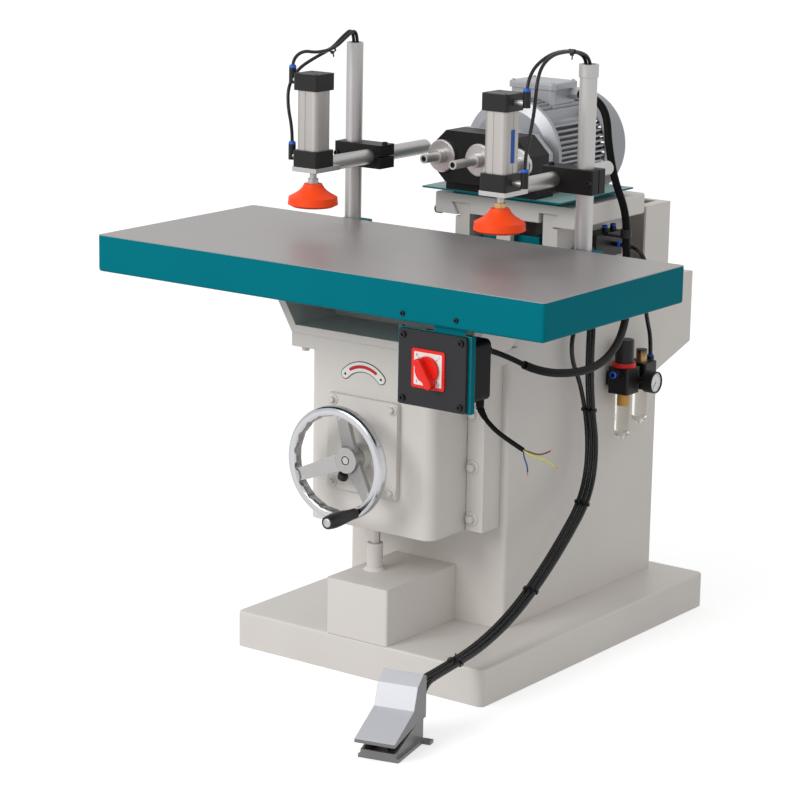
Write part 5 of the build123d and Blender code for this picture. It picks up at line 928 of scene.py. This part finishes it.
for lane, middle, length in PEDAL_HOSES:
    x, y, z = VALVE_PORTS[lane + 1]
    aside = HOSE_TURN_LANE * lane
    start = [(x, y, z), (x, y - PORT_LEAD, z), (HOSE_TURN[0] + aside, HOSE_TURN[1], HOSE_TURN[2] + aside)]
    run = [(x + HOSE_LANE * lane, y, z) for x, y, z in middle + HOSE_RUN]
    hole = Matrix.Rotation(PEDAL_TURN, 2) @ Vector((PEDAL_HOLE_PITCH * lane, PEDAL_HOLE_BACK))
    hole += Vector(PEDAL_FRONT)
    end = [(*Vector(run[-1][:2]).lerp(hole, share), z) for share, z in HOSE_END]
    if lane == 0:
        for number, (spot, along) in enumerate(PEDAL_TIES, 1):
            cable_tie(f"pedal_hose_tie_{number}", spot, along, HOSE_LANE,
                                  PEDAL_HOSE_R + TIE_SLACK, "frame")
    hose(f"pedal_hose_{lane + 2}", start + run + end, PEDAL_HOSE_R, hose_black, "frame",
         "pedal_hoses")
hose("air_hose_line", AIR_ROUTE, PEDAL_HOSE_R, hose_black, "frame", "air_hose")

# Cables: a conduit from the switch to the clip, another on to the motor, and the mains lead.
# On the machine the first bends as the knee lifts, the second as the head feeds; here each is one fixed
# mesh in its resting pose.
# The lead leaves the switch box through a ribbed strain relief and ends in three bare cores.
CONDUIT_R = 7
CONDUIT_SMOOTH_ANGLE = 50
CABLE_R = 4.5
SLEEVE_START = 0.12
SLEEVE_LAP = 6
SWITCH_ROUTE = [(300, -427.5, 630), (302, -388, 617), (318, -300, 573), (316, -180, 551), (302, -80, 549),
                (276, 10, 563), (244, 85, 584), (216, 140, 618), (198, 167, 664), (186, 174, 700),
                (186, 174, 727)]
MOTOR_ROUTE = [(186, 174, 727), (186, 174, 762), (163, 164, 824), (145, 170, 886), (133.2, 182, 928.2),
               (113.8, 189.8, 952.5), (86, 193, 964.2), (66, 193, 964.2)]
LEAD_R = 4
MAINS_ROUTE = [(304, -452.5, 542), (308, -452.4, 532), (322, -452.3, 517), (346, -452, 501),
               (388, -451, 484)]
RELIEF_END = 0.34
RELIEF_FIT = 0.4
RELIEF_RIB = 2.6
RELIEF_GROOVE = 1.8
RIB_STEPS = 3
CORE_R = 1.3
CORE_FACETS = 3
CORE_TIP = [(0.78, -2), (0.91, 5), (0.52, 6)]
CORES = (("earth_core", "core_yellow_green", tint(176, 186, 46), 0.0646,
          [(404, -451, 477), (425, -452, 476), (437, -453, 474), (450, -454, 468)]),
         ("live_core", "core_brown", tint(96, 58, 44), 0.0523,
          [(400, -450, 482), (414, -449, 480), (428, -449, 484), (438, -449, 490)]),
         ("neutral_core", "core_blue", tint(52, 70, 120), 0.0366,
          [(390, -452, 474), (395, -453, 466), (399, -454, 458), (400, -455, 450)]))
cable_black = moulded("cable_sheath", tint(15, 14, 15), 0.5, grain=500.0, gloss=0.06)
bare_copper = bare_metal("bare_copper", tint(190, 116, 82), 0.35, LINES_CAST)


def line_points(route):
    """Points along a route's smooth line, in metres."""
    holder = bpy.data.objects.new("route", smooth_line("route", route))
    mesh = bpy.data.meshes.new_from_object(holder)
    points = [vertex.co.copy() for vertex in mesh.vertices]
    bpy.data.objects.remove(holder)
    return points


def tube_round(shape, points, radii, sides=16):
    """Adds a tube round points in metres, with a radius in mm at each."""
    way = (points[1] - points[0]).normalized()
    side = way.orthogonal().normalized()
    rings = []
    for step, point in enumerate(points):
        ahead = (points[min(step + 1, len(points) - 1)] - points[max(step - 1, 0)]).normalized()
        side = way.rotation_difference(ahead) @ side
        way = ahead
        other = way.cross(side)
        ring = []
        for corner in range(sides):
            angle = 2 * pi * corner / sides
            outward = side * cos(angle) + other * sin(angle)
            ring.append(shape.verts.new(point + outward * radii[step] * MM))
        rings.append(ring)
    for low, high in zip(rings, rings[1:]):
        for corner in range(sides):
            shape.faces.new((low[corner - 1], low[corner], high[corner], high[corner - 1]))
    shape.faces.new(rings[0])
    shape.faces.new(rings[-1])


def bent_tube(name, points, radius, node):
    """Cable along points of a smooth line, as one fixed mesh in place of its plain CAD tube."""
    shape = bmesh.new()
    tube_round(shape, points, [radius] * len(points))
    piece = solid(name, shape, cable_black, CONDUIT_SMOOTH_ANGLE)
    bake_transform(piece)
    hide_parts(node)
    return piece


switch_line = line_points(SWITCH_ROUTE)
sleeve_from = round(len(switch_line) * SLEEVE_START)
switch_parts = (("switch_cable", switch_line[:sleeve_from + SLEEVE_LAP], CABLE_R),
                ("switch_sleeve", switch_line[sleeve_from:], CONDUIT_R))
for name, points, radius in switch_parts:
    bent_tube(name, points, radius, "switch_conduit")
motor_line = line_points(MOTOR_ROUTE)
bent_tube("motor_sleeve", motor_line, CONDUIT_R,
          "motor_conduit")

mains_line = line_points(MAINS_ROUTE)
relief_line = mains_line[:round(len(mains_line) * RELIEF_END)]
relief_radii = []
for step in range(len(relief_line)):
    proud = RELIEF_RIB if step % (2 * RIB_STEPS) < RIB_STEPS else RELIEF_GROOVE
    relief_radii.append(LEAD_R + RELIEF_FIT + proud * (1 - step / len(relief_line)))
relief = bmesh.new()
tube_round(relief, relief_line, relief_radii)
relief_piece = finished("mains_strain_relief", relief, cable_black, "knee")
hose("mains_cable", MAINS_ROUTE, LEAD_R, cable_black, "knee", "mains_lead")
for name, coat, colour, length, way_out in CORES:
    route = MAINS_ROUTE[-1:] + way_out
    way = Vector(route[-1]) - Vector(route[-2])
    tip = turned(name + "_tip", CORE_TIP, route[-1], way, bare_copper, "knee", sides=10)
    hose(name, route, CORE_R, moulded(coat, colour, 0.4), "knee",
         facets=CORE_FACETS)

# Studio: a plain pale floor and a white backdrop, one large soft lamp at the front left,
# and the camera of the photograph, as fitted to the corners of the table and the base.
CAMERA_SPOT = (2697.0, -3982.8, 1562.6)
CAMERA_YAW = radians(35.85)
CAMERA_PITCH = radians(13.354)
CAMERA_ROLL = radians(0.999)
CAMERA_LENS = 123.32
CAMERA_SENSOR = 36.0
CAMERA_REACH = 200.0
FLOOR_HALF = 30.0
FLOOR_GREY = 0.62
FLOOR_GLOW = 0.55
AMBIENT = 0.74
WHITE = (1.0, 1.0, 1.0, 1.0)
KEY_SPOT = (-0.9, -4.1, 2.8)
KEY_AIM = (0, -0.2, 0.5)
KEY_SIZE = 2.2
KEY_POWER = 106
scene = bpy.context.scene
scene.view_settings.view_transform = "Standard"


def seen_plain(tree):
    """1 for rays that see the backdrop: from the camera, off a mirror or through clear plastic."""
    rays = add_node(tree, "LightPath").outputs
    direct = calc(tree, "MAXIMUM", rays["Is Camera Ray"], rays["Is Glossy Ray"])
    return calc(tree, "MAXIMUM", direct, rays["Is Transmission Ray"])


floor_mesh = bpy.data.meshes.new("floor")
floor_mesh.from_pydata([(-FLOOR_HALF, -FLOOR_HALF, 0), (FLOOR_HALF, -FLOOR_HALF, 0),
                        (FLOOR_HALF, FLOOR_HALF, 0), (-FLOOR_HALF, FLOOR_HALF, 0)], [], [(0, 1, 2, 3)])
floor = bpy.data.objects.new("floor", floor_mesh)
scene.collection.objects.link(floor)
pale, tree, shader = new_finish("pale_floor")
shader.inputs["Base Color"].default_value = (FLOOR_GREY, FLOOR_GREY, FLOOR_GREY, 1.0)
shader.inputs["Roughness"].default_value = 0.9
shader.inputs["Emission Color"].default_value = WHITE
tree.links.new(calc(tree, "MULTIPLY", seen_plain(tree), FLOOR_GLOW), shader.inputs["Emission Strength"])
floor_mesh.materials.append(pale)

world = bpy.data.worlds.new("studio")
scene.world = world
world.use_nodes = True
tree = world.node_tree
backdrop = tree.nodes["Background"]
backdrop.inputs["Color"].default_value = WHITE
tree.links.new(calc(tree, "MAXIMUM", seen_plain(tree), AMBIENT), backdrop.inputs["Strength"])

lamp = bpy.data.lights.new("key", "AREA")
lamp.size = KEY_SIZE
lamp.energy = KEY_POWER
key = bpy.data.objects.new("key", lamp)
key.location = KEY_SPOT
key.rotation_euler = (Vector(KEY_AIM) - Vector(KEY_SPOT)).to_track_quat("-Z", "Y").to_euler()
scene.collection.objects.link(key)

level = cos(CAMERA_PITCH)
forward = Vector((-sin(CAMERA_YAW) * level, cos(CAMERA_YAW) * level, -sin(CAMERA_PITCH)))
level_right = Vector((cos(CAMERA_YAW), sin(CAMERA_YAW), 0))
level_up = level_right.cross(forward)
right = level_right * cos(CAMERA_ROLL) + level_up * sin(CAMERA_ROLL)
up = level_up * cos(CAMERA_ROLL) - level_right * sin(CAMERA_ROLL)
lens = bpy.data.cameras.new("camera")
lens.lens = CAMERA_LENS
lens.sensor_width = CAMERA_SENSOR
lens.clip_end = CAMERA_REACH
camera = bpy.data.objects.new("camera", lens)
camera.matrix_world = at(CAMERA_SPOT) @ Matrix((right, up, -forward)).transposed().to_4x4()
scene.collection.objects.link(camera)
scene.camera = camera
